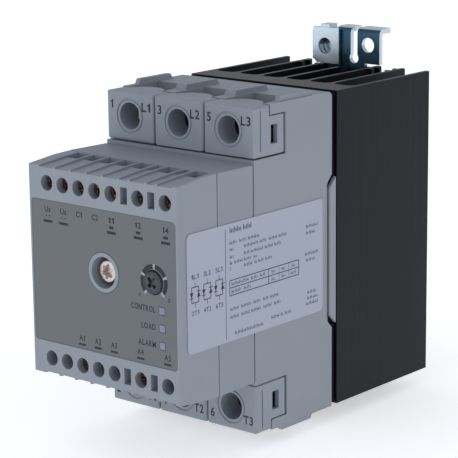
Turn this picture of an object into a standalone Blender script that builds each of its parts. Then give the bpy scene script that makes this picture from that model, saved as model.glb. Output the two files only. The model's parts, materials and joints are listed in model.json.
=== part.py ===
"""Three-pole solid-state relay for a 35 mm mounting rail, with its finned heatsink behind it.

World frame: +X to the right seen from the front, +Y towards the rail, +Z up.
The world origin is the middle of the rail seat, in the plane of the fin ends.
Lengths below are millimetres; `depth` is counted backwards from the front face.
"""
import math

import bmesh
import bpy
from mathutils import Matrix

MM = 0.001
DEPTH = 113.0           # front face to the plane of the fin ends
HALF_W = 26.95          # half the moulded width of a three-module device
GAP = 0.3               # clearance between neighbouring pieces
CUT = 1.0               # how far a cutter runs past the face it opens
SINK_IN = 0.5           # how far a joined piece runs into the piece it grows on
ARC_STEPS = 5           # straight pieces in a rounded corner
ROUND_SIDES = 32        # sides of a round piece
SMALL_SIDES = 16        # sides of a small one
MERGE = 0.01            # points closer than this are one
SHARP_ANGLE = 40.0      # edges sharper than this stay crisp, in degrees

POLES = (("1", -18.0), ("2", 0.0), ("3", 18.0))
SIDES = (("l", 1.0), ("t", -1.0))       # line terminals above, load terminals below

# heatsink extrusion
SINK_FRONT = 67.8
SINK_BASE = 9.0
SINK_HALF_W = 27.0
SINK_HALF_H = 45.7
FIN_COUNT = 7
FIN_T = 1.5
FIN_FILLET = 2.2
MID_FIN_END = 104.2
GUIDE_LIP = 1.0         # lips on the inner fins that hold the rail plate
GUIDE_LIPS = ((105.6, 106.6), (109.0, 109.8))
BEAD = 1.3              # beads of the open screw channels
BEAD_SPANS = ((106.3, 107.5), (110.2, 111.4))

# sheet-metal rail plate and its head above the heatsink
PLATE_FRONT = 107.0
PLATE_T = 1.5
PLATE_HALF_W = 7.6
PLATE_BOTTOM = -38.0
HEAD_LEFT = -11.9
HEAD_RIGHT = 13.1
HEAD_BOTTOM = 46.9
HEAD_TOP = 57.5
EAR_TOP = 55.5          # the clip nut is pushed over this lower ear
EAR_RIGHT = -2.7
FLANGE_BACK = 112.6
FOLD_R = 1.8
KEY_LEFT = 2.5
KEY_RIGHT = 4.95
KEY_ROUND_R = 1.6
KEY_ROUND_Z = 48.3
TAB_HOLE = (8.85, 52.5, 2.25)
EARTH_HOLE = (-6.3, 51.3, 2.9)
RAIL_HALF = 17.5
RAIL_PLAY = 0.4
HOOK_T = 1.5
HOOK_BACK = 116.0
HOOK_LIP_Z = 16.0
HOOK_LIP_T = 1.5
WINDOW_HALF_W = 2.6
WINDOW_PLAY = 0.1
WINDOW_TRAVEL = 4.0
WINDOW_BELOW = 5.0

# spring latch under the rail
LATCH_FRONT = 108.8
LATCH_T = 1.5
LATCH_HALF_W = 6.5
LATCH_BOTTOM = -51.0
LATCH_TOP = -17.9
LATCH_SLOT = (2.6, 0.9, -48.2)
SPRING_TOP = -26.3
SPRING_BOTTOM = -36.0
SPRING_R = 1.45
SPRING_WIRE_R = 0.25
SPRING_TURNS = 5
SPRING_STEPS = 12       # straight pieces in one turn
SPRING_END = 0.375      # wire centre to the end of the free length
SPRING_DEPTH = 109.2

# earth clip nut
CLIP_LEFT = -10.8
CLIP_RIGHT = -1.1
CLIP_BOTTOM = 46.1
CLIP_T = 1.0
CLIP_TOP = 57.0
CLIP_CHAMFER = 1.4
CLIP_HOLE_R = 2.45
STRAP_HALF_W = 1.7
TONGUE_HALF_W = 3.3      # rear tongue of the clip, behind the earth hole
TONGUE_BOTTOM = 47.8
STRAP_LAP = 1.0
STRAP_TOP = 57.9
STRAP_IN = 0.1

# main housing
CASE_FRONT = 31.1
CASE_BACK = 65.5
CASE_HALF_H = 45.8
CASE_WALL = 1.75
CASE_ROUND = 1.6
COVER_ZONE_Z = 31.4
STEP_DEPTH = 38.2
STEP_Z = 42.9
SKIRT_DEPTH = 44.8
POCKET_HALF_W = 6.7
POCKET_BACK = 50.6
POCKET_Z = 33.2
INNER_WALL_BACK = 52.2
CAVITY_HALF_H = 44.0
MIDDLE_CAVITY_H = 29.8
MIDDLE_CAVITY_FRONT = 33.0
TAIL_SLOT = (3.3, 34.6, 36.6)
RIB_PROFILE = ((42.3, 45.2), (43.4, 47.3), (56.3, 47.3), (57.5, 45.2))
RIB_CENTRES = ((-25.6, 0.8), (-9.0, 1.9), (9.0, 1.9), (25.6, 0.8))
NOTCH_PROFILE = ((67.0, 24.0), (65.5, 22.3), (63.2, 19.8))
CLIP_SEAT = 1.4         # depth of the notch that takes a retention clip
CLIP_SIDE_T = 1.1
CLIP_PROFILE = ((67.5, 21.4), (64.5, 18.4))

# power terminals
BORE_Z = 38.9
BORE_R = 3.83
COVER_FRONT = 31.3
COVER_HALF_W = 8.85
COVER_BOTTOM = 31.7
COVER_TOP = 45.6
COVER_WALL = 1.5
COVER_STEP = 37.9
COVER_SKIRT = 44.5
COVER_SKIRT_Z = 42.6
COVER_ARC_R = 6.5
COVER_ARC_D = 36.2
TUBE_R = 5.0
TUBE_BACK = 38.6
COVER_SKIN = 2.0        # thickness of the front of a cover
RING_OUT = 5.0
RING_IN = 4.5
RING_DEEP = 0.3
GROOVE_D = (34.05, 34.4)
GROOVE_Z = (33.4, 44.5)
GROOVE_DEEP = 0.4
WINDOW_D = (38.5, 41.4)
WINDOW_Z = (34.9, 40.1)
FRAME_HALF_W = 6.3
FRAME_D = (41.7, 50.2)
FRAME_Z = (33.6, 43.2)
TUNNEL_HALF_W = 5.0
TUNNEL_D = (43.4, 48.9)
TAIL_HALF_W = 3.0
TAIL_Z = (34.9, 36.3)
TAIL_BACK = 54.9
THREAD_R = 2.0
THREAD_PLAY = 0.06
SCREW_HEAD_R = 3.35
SCREW_HEAD_D = (39.5, 41.5)
SCREW_TIP = 48.6
SCREW_CHAMFER = 0.3
TIP_CHAMFER = 0.4
POWER_CROSS = (0.55, 2.2, 1.3)     # half width, half length, depth
PAD_D = (43.7, 44.5)      # tightened: drawn up to the front wall of the tunnel
PAD_HALF_W = 4.6
PAD_Z = (34.6, 42.6)
CROSS_TURN = 45.0

# control module on the front
SEAM_D = 15.8
MODULE_BACK = 30.8
MODULE_PROFILE = ((0.0, 29.35), (9.7, 30.3), (SEAM_D, 30.5))
HOUSING_H = (30.6, 30.35)
MODULE_WALL = 1.5
HOLE_XS = (-20.2, -14.28, -8.36, -2.44, 3.48, 13.12, 22.78)
PROBE_XS = (8.25, 17.9)
HOLE_Z = 24.7
HOLE_R = 2.18
HOLE_SIDES = 20
PROBE_SIZE = (1.2, 2.25)
PROBE_DEEP = 3.0
CHANNEL_HALF_W = 2.6
PROBE_CHANNEL_HALF_W = 1.4
CHANNEL_FLOOR = ((-1.0, 28.85), (11.2, 29.72))
ENTRY_BACK = 15.3
ENTRY_DEEP_Z = 27.0
BLOCK_ROOM = (-23.4, 25.9, 6.6, 20.4, 28.0)     # left, right, front, low, high
BLOCK_D = (7.9, 15.5)
BLOCK_INSET = 0.3
BLOCK_ENTRY_D = (10.6, 14.6)
BLOCK_ENTRY_HALF_W = 2.1
BLOCK_ENTRY_Z = 22.6
CONTROL_HEAD_R = 1.9
CONTROL_HEAD_D = (1.9, 3.9)
CONTROL_SHANK_R = 1.4
CONTROL_TIP = 10.2
CONTROL_CHAMFER = 0.25
CONTROL_CROSS = (0.28, 1.35, 0.8)
CONTROL_TURN = 30.0
LOWER_SCREW_INDEXES = (2, 5)
BOARD_ROOM = (25.4, 18.6, 2.0)
FACE_HALF_W = 26.2
FACE_HALF_H = 19.9
FACE_T = 0.4
FACE_FRONT = 0.1
FACE_ROUND = 1.2
FACE_POCKET = 0.6
FACE_PLAY = 0.1
BOSS_PLAY = 0.15
BOSS_SIDES = 40
BOSS_XZ = (0.25, 2.75)
BOSS_R = 5.5
BOSS_BORE_R = 4.35
BOSS_FLOOR = 5.4
BOSS_HOLE_R = 1.9
BOSS_BACK = 28.9
FIX_HEAD_R = 3.9
FIX_HEAD_D = (2.6, 5.1)
FIX_SHANK_R = 1.6
FIX_TIP = 43.0
FIX_CHAMFER = 0.4
FIX_CROSS = (0.5, 2.4, 1.3)
FIX_TURN = 20.0
HOLE_PLAY = 0.05
POST_R = 4.2
POST_BACK = 45.0
KNOB_XZ = (18.2, 2.9)
KNOB_R = 3.1
KNOB_FRONT = -0.55
KNOB_BACK = 4.8
KNOB_SHAFT_R = 2.0
KNOB_SHAFT_BACK = 8.0
KNOB_HOLE_R = 3.4
KNOB_SLOT = (0.35, 2.35, 0.75)
KNOB_CHAMFER = 0.25
SHAFT_ROOM = 0.3
TRIMMER_HALF = 4.4
TRIMMER_D = (5.4, 9.8)
LED_X = 21.05
LED_ZS = (-4.4, -9.2, -13.95)
LED_HALF = 0.95
LED_HOLE_HALF = 1.1
LED_D = (0.05, 9.8)
BOARD_D = (10.1, 11.7)
BOARD_HALF = (24.6, 17.6)

# label on the right-hand side
LABEL_D = (3.3, 61.0)
LABEL_HALF_H = 16.2
LABEL_T = 0.15
LABEL_LIFT = 0.05
LABEL_ROUND = 1.5

# inside the main housing
BASE_D = (65.8, 67.5)
BASE_HALF = (26.2, 44.9)
PEDESTAL_D = 63.4
PEDESTAL_HALF = (24.4, 43.0)
POWER_BOARD_D = (55.2, 56.8)
POWER_BOARD_HALF = (24.6, 43.4)
THYRISTOR_D = (57.1, 63.1)
THYRISTOR_HALF = (6.9, 21.0)
MODULE_EDGE = 0.5


def clear_scene():
    """Start from an empty scene."""
    for old in list(bpy.data.objects):
        bpy.data.objects.remove(old, do_unlink=True)


def make_collection(name, hidden):
    """A collection under the scene; cutters live in a hidden one."""
    group = bpy.data.collections.new(name)
    bpy.context.scene.collection.children.link(group)
    group.hide_render = hidden
    return group


clear_scene()
PARTS = make_collection("solid_state_relay", False)
CUTTERS = make_collection("cutters", True)


def y_at(depth):
    """World Y, in millimetres, of a depth behind the front face."""
    return depth - DEPTH


def material(name, colour, roughness, metallic=0.0):
    """A plain Principled material."""
    made = bpy.data.materials.get(name)
    if made is None:
        made = bpy.data.materials.new(name)
        made.use_nodes = True
        shader = made.node_tree.nodes["Principled BSDF"]
        shader.inputs["Base Color"].default_value = (*colour, 1.0)
        shader.inputs["Roughness"].default_value = roughness
        shader.inputs["Metallic"].default_value = metallic
        made.diffuse_color = (*colour, 1.0)
    return made


def link(obj, group=PARTS):
    """Put an object in exactly one collection."""
    for other in list(obj.users_collection):
        other.objects.unlink(obj)
    group.objects.link(obj)
    if group is CUTTERS:
        obj.hide_render = True
        obj.display_type = "WIRE"
    return obj


def freeze(obj):
    """Bake the object's turn and scale into its mesh."""
    turn = obj.matrix_world.to_3x3().to_4x4()
    obj.data.transform(turn)
    obj.rotation_euler = (0.0, 0.0, 0.0)
    obj.scale = (1.0, 1.0, 1.0)
    return obj


def baked(source, name):
    """The finished mesh of a curve or a lathe, with its seams merged; the source goes."""
    bpy.context.scene.collection.objects.link(source)
    bpy.context.view_layer.update()
    ready = source.evaluated_get(bpy.context.evaluated_depsgraph_get())
    mesh = bpy.data.meshes.new_from_object(ready)
    bpy.data.objects.remove(source, do_unlink=True)
    mesh.name = name
    work = bmesh.new()
    work.from_mesh(mesh)
    bmesh.ops.remove_doubles(work, verts=work.verts, dist=MERGE * MM)
    bmesh.ops.recalc_face_normals(work, faces=work.faces)
    work.to_mesh(mesh)
    work.free()
    return mesh


def box(name, xs, depths, zs, group=PARTS):
    """A box between two x, two depths and two z."""
    size = (xs[1] - xs[0], depths[1] - depths[0], abs(zs[1] - zs[0]))
    centre = ((xs[0] + xs[1]) / 2, y_at((depths[0] + depths[1]) / 2), (zs[0] + zs[1]) / 2)
    bpy.ops.mesh.primitive_cube_add(size=1.0, location=[c * MM for c in centre])
    obj = bpy.context.object
    obj.name = name
    obj.scale = [s * MM for s in size]
    bpy.context.view_layer.update()
    return link(freeze(obj), group)


def rod(name, centre_xz, depths, radius, sides=ROUND_SIDES, group=PARTS):
    """A round bar along Y between two depths."""
    middle = (centre_xz[0], y_at((depths[0] + depths[1]) / 2), centre_xz[1])
    bpy.ops.mesh.primitive_cylinder_add(
        vertices=sides, radius=radius * MM, depth=(depths[1] - depths[0]) * MM,
        location=[c * MM for c in middle], rotation=(math.radians(90.0), 0.0, 0.0))
    obj = bpy.context.object
    obj.name = name
    bpy.context.view_layer.update()
    return link(freeze(obj), group)


def outline_solid(name, points, low, high, axes, group=PARTS):
    """A flat outline filled and extruded.

    `axes` is "xy" for an outline of (x, depth) raised along Z, "yz" for (depth, z) raised
    along X, and "xz" for (x, z) raised along Y with low and high as depths.
    """
    curve = bpy.data.curves.new(name + "_outline", "CURVE")
    curve.dimensions = "2D"
    curve.fill_mode = "BOTH"
    curve.extrude = (high - low) / 2 * MM
    line = curve.splines.new("POLY")
    line.points.add(len(points) - 1)
    for slot, (a, b) in zip(line.points, points):
        slot.co = (a * MM, b * MM, 0.0, 1.0)
    line.use_cyclic_u = True
    mesh = baked(bpy.data.objects.new(name + "_flat", curve), name)
    middle = (low + high) / 2 * MM
    if axes == "xy":
        place = Matrix.Translation((0.0, y_at(0.0) * MM, middle))
    elif axes == "yz":
        turn = Matrix(((0, 0, 1, 0), (1, 0, 0, 0), (0, 1, 0, 0), (0, 0, 0, 1)))
        place = Matrix.Translation((middle, y_at(0.0) * MM, 0.0)) @ turn
    else:
        turn = Matrix(((1, 0, 0, 0), (0, 0, -1, 0), (0, 1, 0, 0), (0, 0, 0, 1)))
        place = Matrix.Translation((0.0, y_at(0.0) * MM + middle, 0.0)) @ turn
    mesh.transform(place)
    obj = bpy.data.objects.new(name, mesh)
    bpy.context.scene.collection.objects.link(obj)
    return link(obj, group)


def cut(target, tool):
    """Take a tool away from a part."""
    if tool.users_collection[0] is not CUTTERS:
        link(tool, CUTTERS)
    step = target.modifiers.new("cut_" + tool.name, "BOOLEAN")
    step.operation = "DIFFERENCE"
    step.solver = "EXACT"
    step.object = tool
    return target


def add(target, tool):
    """Grow a part by a tool that overlaps it."""
    step = cut(target, tool).modifiers[-1]
    step.name = "add_" + tool.name
    step.operation = "UNION"
    return target


def bevel(target, width, angle=50.0):
    """Round the sharp edges of a part."""
    step = target.modifiers.new("edges", "BEVEL")
    step.width = width * MM
    step.segments = 2
    step.limit_method = "ANGLE"
    step.angle_limit = math.radians(angle)
    return target


def paint(obj, mat, smooth=False):
    """Give a part its material, and smooth faces when it is round."""
    obj.data.materials.clear()
    obj.data.materials.append(mat)
    if smooth:
        obj.data.shade_smooth()
        obj.data.set_sharp_from_angle(angle=math.radians(SHARP_ANGLE))
    return obj


def corner(centre, radius, start, end, steps=ARC_STEPS):
    """Points of a rounded corner, angles in degrees."""
    found = []
    for k in range(steps + 1):
        turn = math.radians(start + (end - start) * k / steps)
        found.append((centre[0] + radius * math.cos(turn), centre[1] + radius * math.sin(turn)))
    return found


def rounded_rectangle(x0, x1, z0, z1, radius):
    """Outline of a rectangle with round corners."""
    return (corner((x1 - radius, z1 - radius), radius, 0, 90)
            + corner((x0 + radius, z1 - radius), radius, 90, 180)
            + corner((x0 + radius, z0 + radius), radius, 180, 270)
            + corner((x1 - radius, z0 + radius), radius, 270, 360))


def span(side, low, high):
    """Heights low..high above the middle, or mirrored below it."""
    return tuple(sorted((side * low, side * high)))


def turned(name, centre_xz, profile, steps=ROUND_SIDES):
    """A turned piece about Y from (radius, depth) points, front to back."""
    mesh = bpy.data.meshes.new(name + "_profile")
    front = profile[0][1]
    verts = [(r * MM, 0.0, -(d - front) * MM) for r, d in profile]
    edges = [(k, k + 1) for k in range(len(profile) - 1)]
    mesh.from_pydata(verts, edges, [])
    line = bpy.data.objects.new(name + "_profile", mesh)
    lathe = line.modifiers.new("lathe", "SCREW")
    lathe.axis = "Z"
    lathe.steps = steps
    lathe.render_steps = steps
    lathe.use_merge_vertices = True
    lathe.merge_threshold = MERGE * MM
    obj = bpy.data.objects.new(name, baked(line, name))
    PARTS.objects.link(obj)
    obj.rotation_euler = (math.radians(90.0), 0.0, 0.0)
    obj.location = (centre_xz[0] * MM, y_at(front) * MM, centre_xz[1] * MM)
    return obj


def cross_recess(target, centre_xz, front, size, angle):
    """Two crossed slots cut into a screw head, turned by an angle in degrees."""
    half_width, half_length, deep = size
    for number, turn in enumerate((angle, angle + 90.0)):
        tool = box(target.name + "_slot" + str(number), (-half_length, half_length),
                   (DEPTH - CUT, DEPTH + deep), (-half_width, half_width), CUTTERS)
        tool.data.transform(Matrix.Translation(tool.location))
        tool.data.transform(Matrix.Rotation(math.radians(turn), 4, "Y"))
        tool.location = (centre_xz[0] * MM, y_at(front) * MM, centre_xz[1] * MM)
        cut(target, tool)


GREY = material("light_grey_moulding", (0.42, 0.44, 0.48), 0.55)
GREY_COVER = material("light_grey_cover", (0.40, 0.42, 0.46), 0.55)
GREY_MODULE = material("light_grey_module", (0.43, 0.45, 0.49), 0.55)
GREY_FRONT = material("light_grey_front", (0.43, 0.45, 0.49), 0.5)
FACE = material("dark_grey_overlay", (0.12, 0.125, 0.13), 0.45)
SINK = material("black_anodised_aluminium", (0.03, 0.031, 0.034), 0.45, 0.6)
ZINC = material("zinc_plated_steel", (0.55, 0.6, 0.66), 0.3, 1.0)
SPRING_STEEL = material("spring_steel", (0.45, 0.45, 0.46), 0.35, 1.0)
BRASS = material("plated_brass", (0.5, 0.42, 0.3), 0.35, 1.0)
NICKEL = material("nickel_plated_screw", (0.6, 0.6, 0.6), 0.3, 1.0)
COPPER = material("tinned_copper", (0.6, 0.57, 0.52), 0.35, 1.0)
BLACK = material("black_nylon", (0.015, 0.015, 0.016), 0.45)
BLOCK = material("terminal_block_moulding", (0.03, 0.032, 0.035), 0.5)
PCB = material("circuit_board", (0.03, 0.12, 0.06), 0.4)
EPOXY = material("encapsulation", (0.05, 0.05, 0.055), 0.5)
CERAMIC = material("base_plate_metal", (0.05, 0.05, 0.055), 0.4, 0.5)
LENS = material("light_pipe", (0.35, 0.42, 0.5), 0.2)
LABEL = material("label_film", (0.45, 0.46, 0.55), 0.4)


def heatsink():
    """Extruded comb: a thick base plate and seven fins, the middle one short."""
    pitch = (2 * SINK_HALF_W - FIN_T) / (FIN_COUNT - 1)
    root = SINK_FRONT + SINK_BASE
    outline = [(SINK_HALF_W, SINK_FRONT)]
    for k in range(FIN_COUNT):
        right = SINK_HALF_W - k * pitch
        left = right - FIN_T
        middle = k == FIN_COUNT // 2
        end = MID_FIN_END if middle else DEPTH
        if k > 0:
            outline += fin_side(right, root, end, k, 1.0)
        else:
            outline.append((right, end))
        if k < FIN_COUNT - 1:
            outline += list(reversed(fin_side(left, root, end, k, -1.0)))
        else:
            outline.append((left, end))
    outline.append((-SINK_HALF_W, SINK_FRONT))
    obj = outline_solid("heatsink", outline, -SINK_HALF_H, SINK_HALF_H, "xy")
    return paint(obj, SINK)


def fin_side(x, root, end, number, side):
    """Points up one side of a fin, from the rounded slot floor to its end."""
    radius = FIN_FILLET
    centre = (x + side * radius, root + radius)
    first, last = (270.0, 180.0) if side > 0 else (270.0, 360.0)
    points = corner(centre, radius, first, last)
    points[-1] = (x, root + radius)
    lips = ()
    if (number, side) in ((2, -1.0), (4, 1.0)):
        lips = [(low, high, GUIDE_LIP) for low, high in GUIDE_LIPS]
    elif (number, side) in ((1, -1.0), (2, 1.0), (4, -1.0), (5, 1.0)):
        lips = [(low, high, BEAD) for low, high in BEAD_SPANS]
    for low, high, reach in lips:
        points += [(x, low), (x + side * reach, low), (x + side * reach, high), (x, high)]
    points.append((x, end))
    return points


def rail_plate():
    """Folded steel plate: strip between the fins, rail hook behind, head above."""
    back = PLATE_FRONT + PLATE_T
    fold = corner((PLATE_FRONT + FOLD_R, HEAD_TOP - FOLD_R), FOLD_R, 180, 90)
    profile = ([(PLATE_FRONT, PLATE_BOTTOM)] + fold
               + [(FLANGE_BACK, HEAD_TOP), (FLANGE_BACK, HEAD_TOP - PLATE_T),
                  (back, HEAD_TOP - PLATE_T), (back, PLATE_BOTTOM)])
    obj = outline_solid("rail_plate", profile, HEAD_LEFT, HEAD_RIGHT, "yz")
    low = (PLATE_BOTTOM - CUT, HEAD_BOTTOM)
    whole = (PLATE_FRONT - CUT, FLANGE_BACK + CUT)
    cut(obj, box("blank_left", (HEAD_LEFT - CUT, -PLATE_HALF_W), whole, low))
    cut(obj, box("blank_right", (PLATE_HALF_W, HEAD_RIGHT + CUT), whole, low))
    cut(obj, box("blank_ear", (HEAD_LEFT - CUT, EAR_RIGHT), whole, (EAR_TOP, HEAD_TOP + CUT)))
    hook = [(back - SINK_IN, RAIL_HALF + RAIL_PLAY), (HOOK_BACK - HOOK_LIP_T, RAIL_HALF + RAIL_PLAY),
            (HOOK_BACK - HOOK_LIP_T, HOOK_LIP_Z), (HOOK_BACK, HOOK_LIP_Z),
            (HOOK_BACK, RAIL_HALF + RAIL_PLAY + HOOK_T), (back - SINK_IN, RAIL_HALF + RAIL_PLAY + HOOK_T)]
    add(obj, outline_solid("rail_plate_hook", hook, -LATCH_HALF_W, LATCH_HALF_W, "yz"))
    middle = (KEY_LEFT + KEY_RIGHT) / 2
    lean = math.degrees(math.acos((KEY_RIGHT - middle) / KEY_ROUND_R))
    key = ([(KEY_LEFT, HEAD_TOP + CUT), (KEY_RIGHT, HEAD_TOP + CUT)]
           + corner((middle, KEY_ROUND_Z), KEY_ROUND_R, lean, -180.0 - lean, 4 * ARC_STEPS))
    cut(obj, outline_solid("key_slot", key, *whole, "xz"))
    cut(obj, rod("tab_hole", TAB_HOLE[:2], (PLATE_FRONT - CUT, back + CUT), TAB_HOLE[2]))
    cut(obj, rod("earth_hole", EARTH_HOLE[:2], (PLATE_FRONT - CUT, back + CUT), EARTH_HOLE[2]))
    cut(obj, box("spring_window", (-WINDOW_HALF_W, WINDOW_HALF_W), (PLATE_FRONT - CUT, back + CUT),
                 (SPRING_BOTTOM - WINDOW_PLAY, SPRING_TOP + WINDOW_TRAVEL)))
    return paint(obj, ZINC)


def earth_clip_nut():
    """U-shaped clip nut pushed over the left ear of the plate."""
    front = PLATE_FRONT - GAP - CLIP_T
    outline = [(CLIP_LEFT, CLIP_TOP), (CLIP_LEFT, CLIP_BOTTOM + CLIP_CHAMFER),
               (CLIP_LEFT + CLIP_CHAMFER, CLIP_BOTTOM), (CLIP_RIGHT, CLIP_BOTTOM),
               (CLIP_RIGHT, CLIP_TOP)]
    obj = outline_solid("earth_clip_nut", outline, front, front + CLIP_T, "xz")
    centre = EARTH_HOLE[0]
    rear = PLATE_FRONT + PLATE_T + GAP
    start = front + STRAP_IN
    low = EAR_TOP - STRAP_LAP
    under = STRAP_TOP - CLIP_T
    strap = [(start, low), (start, under + CLIP_T), (rear + CLIP_T, under + CLIP_T),
             (rear + CLIP_T, low), (rear, low), (rear, under),
             (front + CLIP_T, under), (front + CLIP_T, low)]
    add(obj, outline_solid("clip_strap", strap, centre - STRAP_HALF_W, centre + STRAP_HALF_W, "yz"))
    add(obj, box("clip_tongue", (centre - TONGUE_HALF_W, centre + TONGUE_HALF_W),
                 (rear, rear + CLIP_T), (TONGUE_BOTTOM, EAR_TOP)))
    cut(obj, rod("clip_thread", EARTH_HOLE[:2], (front - CUT, front + CLIP_T + STRAP_IN), CLIP_HOLE_R))
    return paint(obj, ZINC)


def rail_latch():
    """Sliding latch with a screwdriver slot below and a lip behind the rail."""
    back = LATCH_FRONT + LATCH_T
    lip = [(LATCH_FRONT, LATCH_BOTTOM), (back, LATCH_BOTTOM), (back, LATCH_TOP - HOOK_T),
           (HOOK_BACK, LATCH_TOP - HOOK_T), (HOOK_BACK, -HOOK_LIP_Z),
           (HOOK_BACK - HOOK_LIP_T, -HOOK_LIP_Z), (HOOK_BACK - HOOK_LIP_T, LATCH_TOP),
           (LATCH_FRONT, LATCH_TOP)]
    obj = outline_solid("rail_latch", lip, -LATCH_HALF_W, LATCH_HALF_W, "yz")
    cut(obj, box("latch_window", (-WINDOW_HALF_W, WINDOW_HALF_W), (LATCH_FRONT - CUT, back + CUT),
                 (SPRING_BOTTOM - WINDOW_BELOW, SPRING_TOP + WINDOW_PLAY)))
    half, high, z = LATCH_SLOT
    cut(obj, box("latch_slot", (-half, half), (LATCH_FRONT - CUT, back + CUT), (z - high, z + high)))
    return paint(obj, ZINC)


def latch_spring():
    """Coil spring standing in the windows of plate and latch."""
    curve = bpy.data.curves.new("latch_spring_path", "CURVE")
    curve.dimensions = "3D"
    curve.bevel_depth = SPRING_WIRE_R * MM
    curve.bevel_resolution = 1
    curve.use_fill_caps = True
    steps = SPRING_STEPS * SPRING_TURNS
    line = curve.splines.new("POLY")
    line.points.add(steps)
    low = SPRING_BOTTOM + SPRING_END
    high = SPRING_TOP - SPRING_END
    for k in range(steps + 1):
        turn = 2 * math.pi * SPRING_TURNS * k / steps
        z = low + (high - low) * k / steps
        around = (SPRING_R * math.cos(turn) * MM, SPRING_R * math.sin(turn) * MM)
        line.points[k].co = (*around, z * MM, 1.0)
    path = bpy.data.objects.new("latch_spring_curve", curve)
    obj = bpy.data.objects.new("latch_spring", baked(path, "latch_spring"))
    obj.location = (0.0, y_at(SPRING_DEPTH) * MM, 0.0)
    PARTS.objects.link(obj)
    return paint(obj, SPRING_STEEL, True)


def main_housing():
    """Moulded housing: terminal pockets above and below, open cavity behind."""
    corners = (corner((CASE_BACK - CASE_ROUND, CASE_HALF_H - CASE_ROUND), CASE_ROUND, 0, 90)
               + [(CASE_FRONT, CASE_HALF_H), (CASE_FRONT, -CASE_HALF_H), (CASE_BACK, -CASE_HALF_H)])
    obj = outline_solid("main_housing", corners, -HALF_W, HALF_W, "yz")
    for label, side in SIDES:
        for number, (centre, half) in enumerate(RIB_CENTRES):
            profile = [(d, side * z) for d, z in RIB_PROFILE]
            rib = outline_solid("rib_" + label + str(number), profile, centre - half,
                                centre + half, "yz")
            add(obj, rib)
    for sign in (-1.0, 1.0):
        outer = sign * (HALF_W + CUT)
        inner = sign * (HALF_W - CLIP_SEAT)
        outline = [(d, z) for d, z in NOTCH_PROFILE] + [(d, -z) for d, z in reversed(NOTCH_PROFILE)]
        cut(obj, outline_solid("notch" + ("_left" if sign < 0 else "_right"), outline,
                               min(outer, inner), max(outer, inner), "yz"))
    inside = HALF_W - CASE_WALL
    cut(obj, box("rear_cavity", (-inside, inside), (INNER_WALL_BACK, CASE_BACK + CUT),
                 (-CAVITY_HALF_H, CAVITY_HALF_H)))
    cut(obj, box("middle_cavity", (-inside, inside), (MIDDLE_CAVITY_FRONT, INNER_WALL_BACK + CUT),
                 (-MIDDLE_CAVITY_H, MIDDLE_CAVITY_H)))
    wide = HALF_W + CUT
    tall = CASE_HALF_H + CUT
    for label, side in SIDES:
        cut(obj, box("cover_front_" + label, (-wide, wide), (CASE_FRONT - CUT, STEP_DEPTH),
                     span(side, COVER_ZONE_Z, tall)))
        cut(obj, box("cover_skirt_" + label, (-wide, wide), (CASE_FRONT - CUT, SKIRT_DEPTH),
                     span(side, COVER_ZONE_Z, STEP_Z)))
        for pole, x in POLES:
            cut(obj, box("pocket_" + label + pole, (x - POCKET_HALF_W, x + POCKET_HALF_W),
                         (STEP_DEPTH - CUT, POCKET_BACK), span(side, POCKET_Z, tall + CUT)))
            half, low, high = TAIL_SLOT
            cut(obj, box("tail_slot_" + label + pole, (x - half, x + half),
                         (POCKET_BACK - CUT, INNER_WALL_BACK + CUT), span(side, low, high)))
    add(obj, rod("post", BOSS_XZ, (MIDDLE_CAVITY_FRONT - CUT, POST_BACK), POST_R))
    cut(obj, rod("post_hole", BOSS_XZ, (CASE_FRONT - CUT, FIX_TIP + CUT), FIX_SHANK_R + HOLE_PLAY))
    return paint(obj, GREY)


def retention_clip(name, sign):
    """Side clip that bridges the gap between housing and heatsink."""
    outer = sign * HALF_W
    inner = sign * (HALF_W - CLIP_SIDE_T)
    outline = [(d, z) for d, z in CLIP_PROFILE] + [(d, -z) for d, z in reversed(CLIP_PROFILE)]
    obj = outline_solid(name, outline, min(outer, inner), max(outer, inner), "yz")
    return paint(obj, GREY_COVER)


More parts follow.
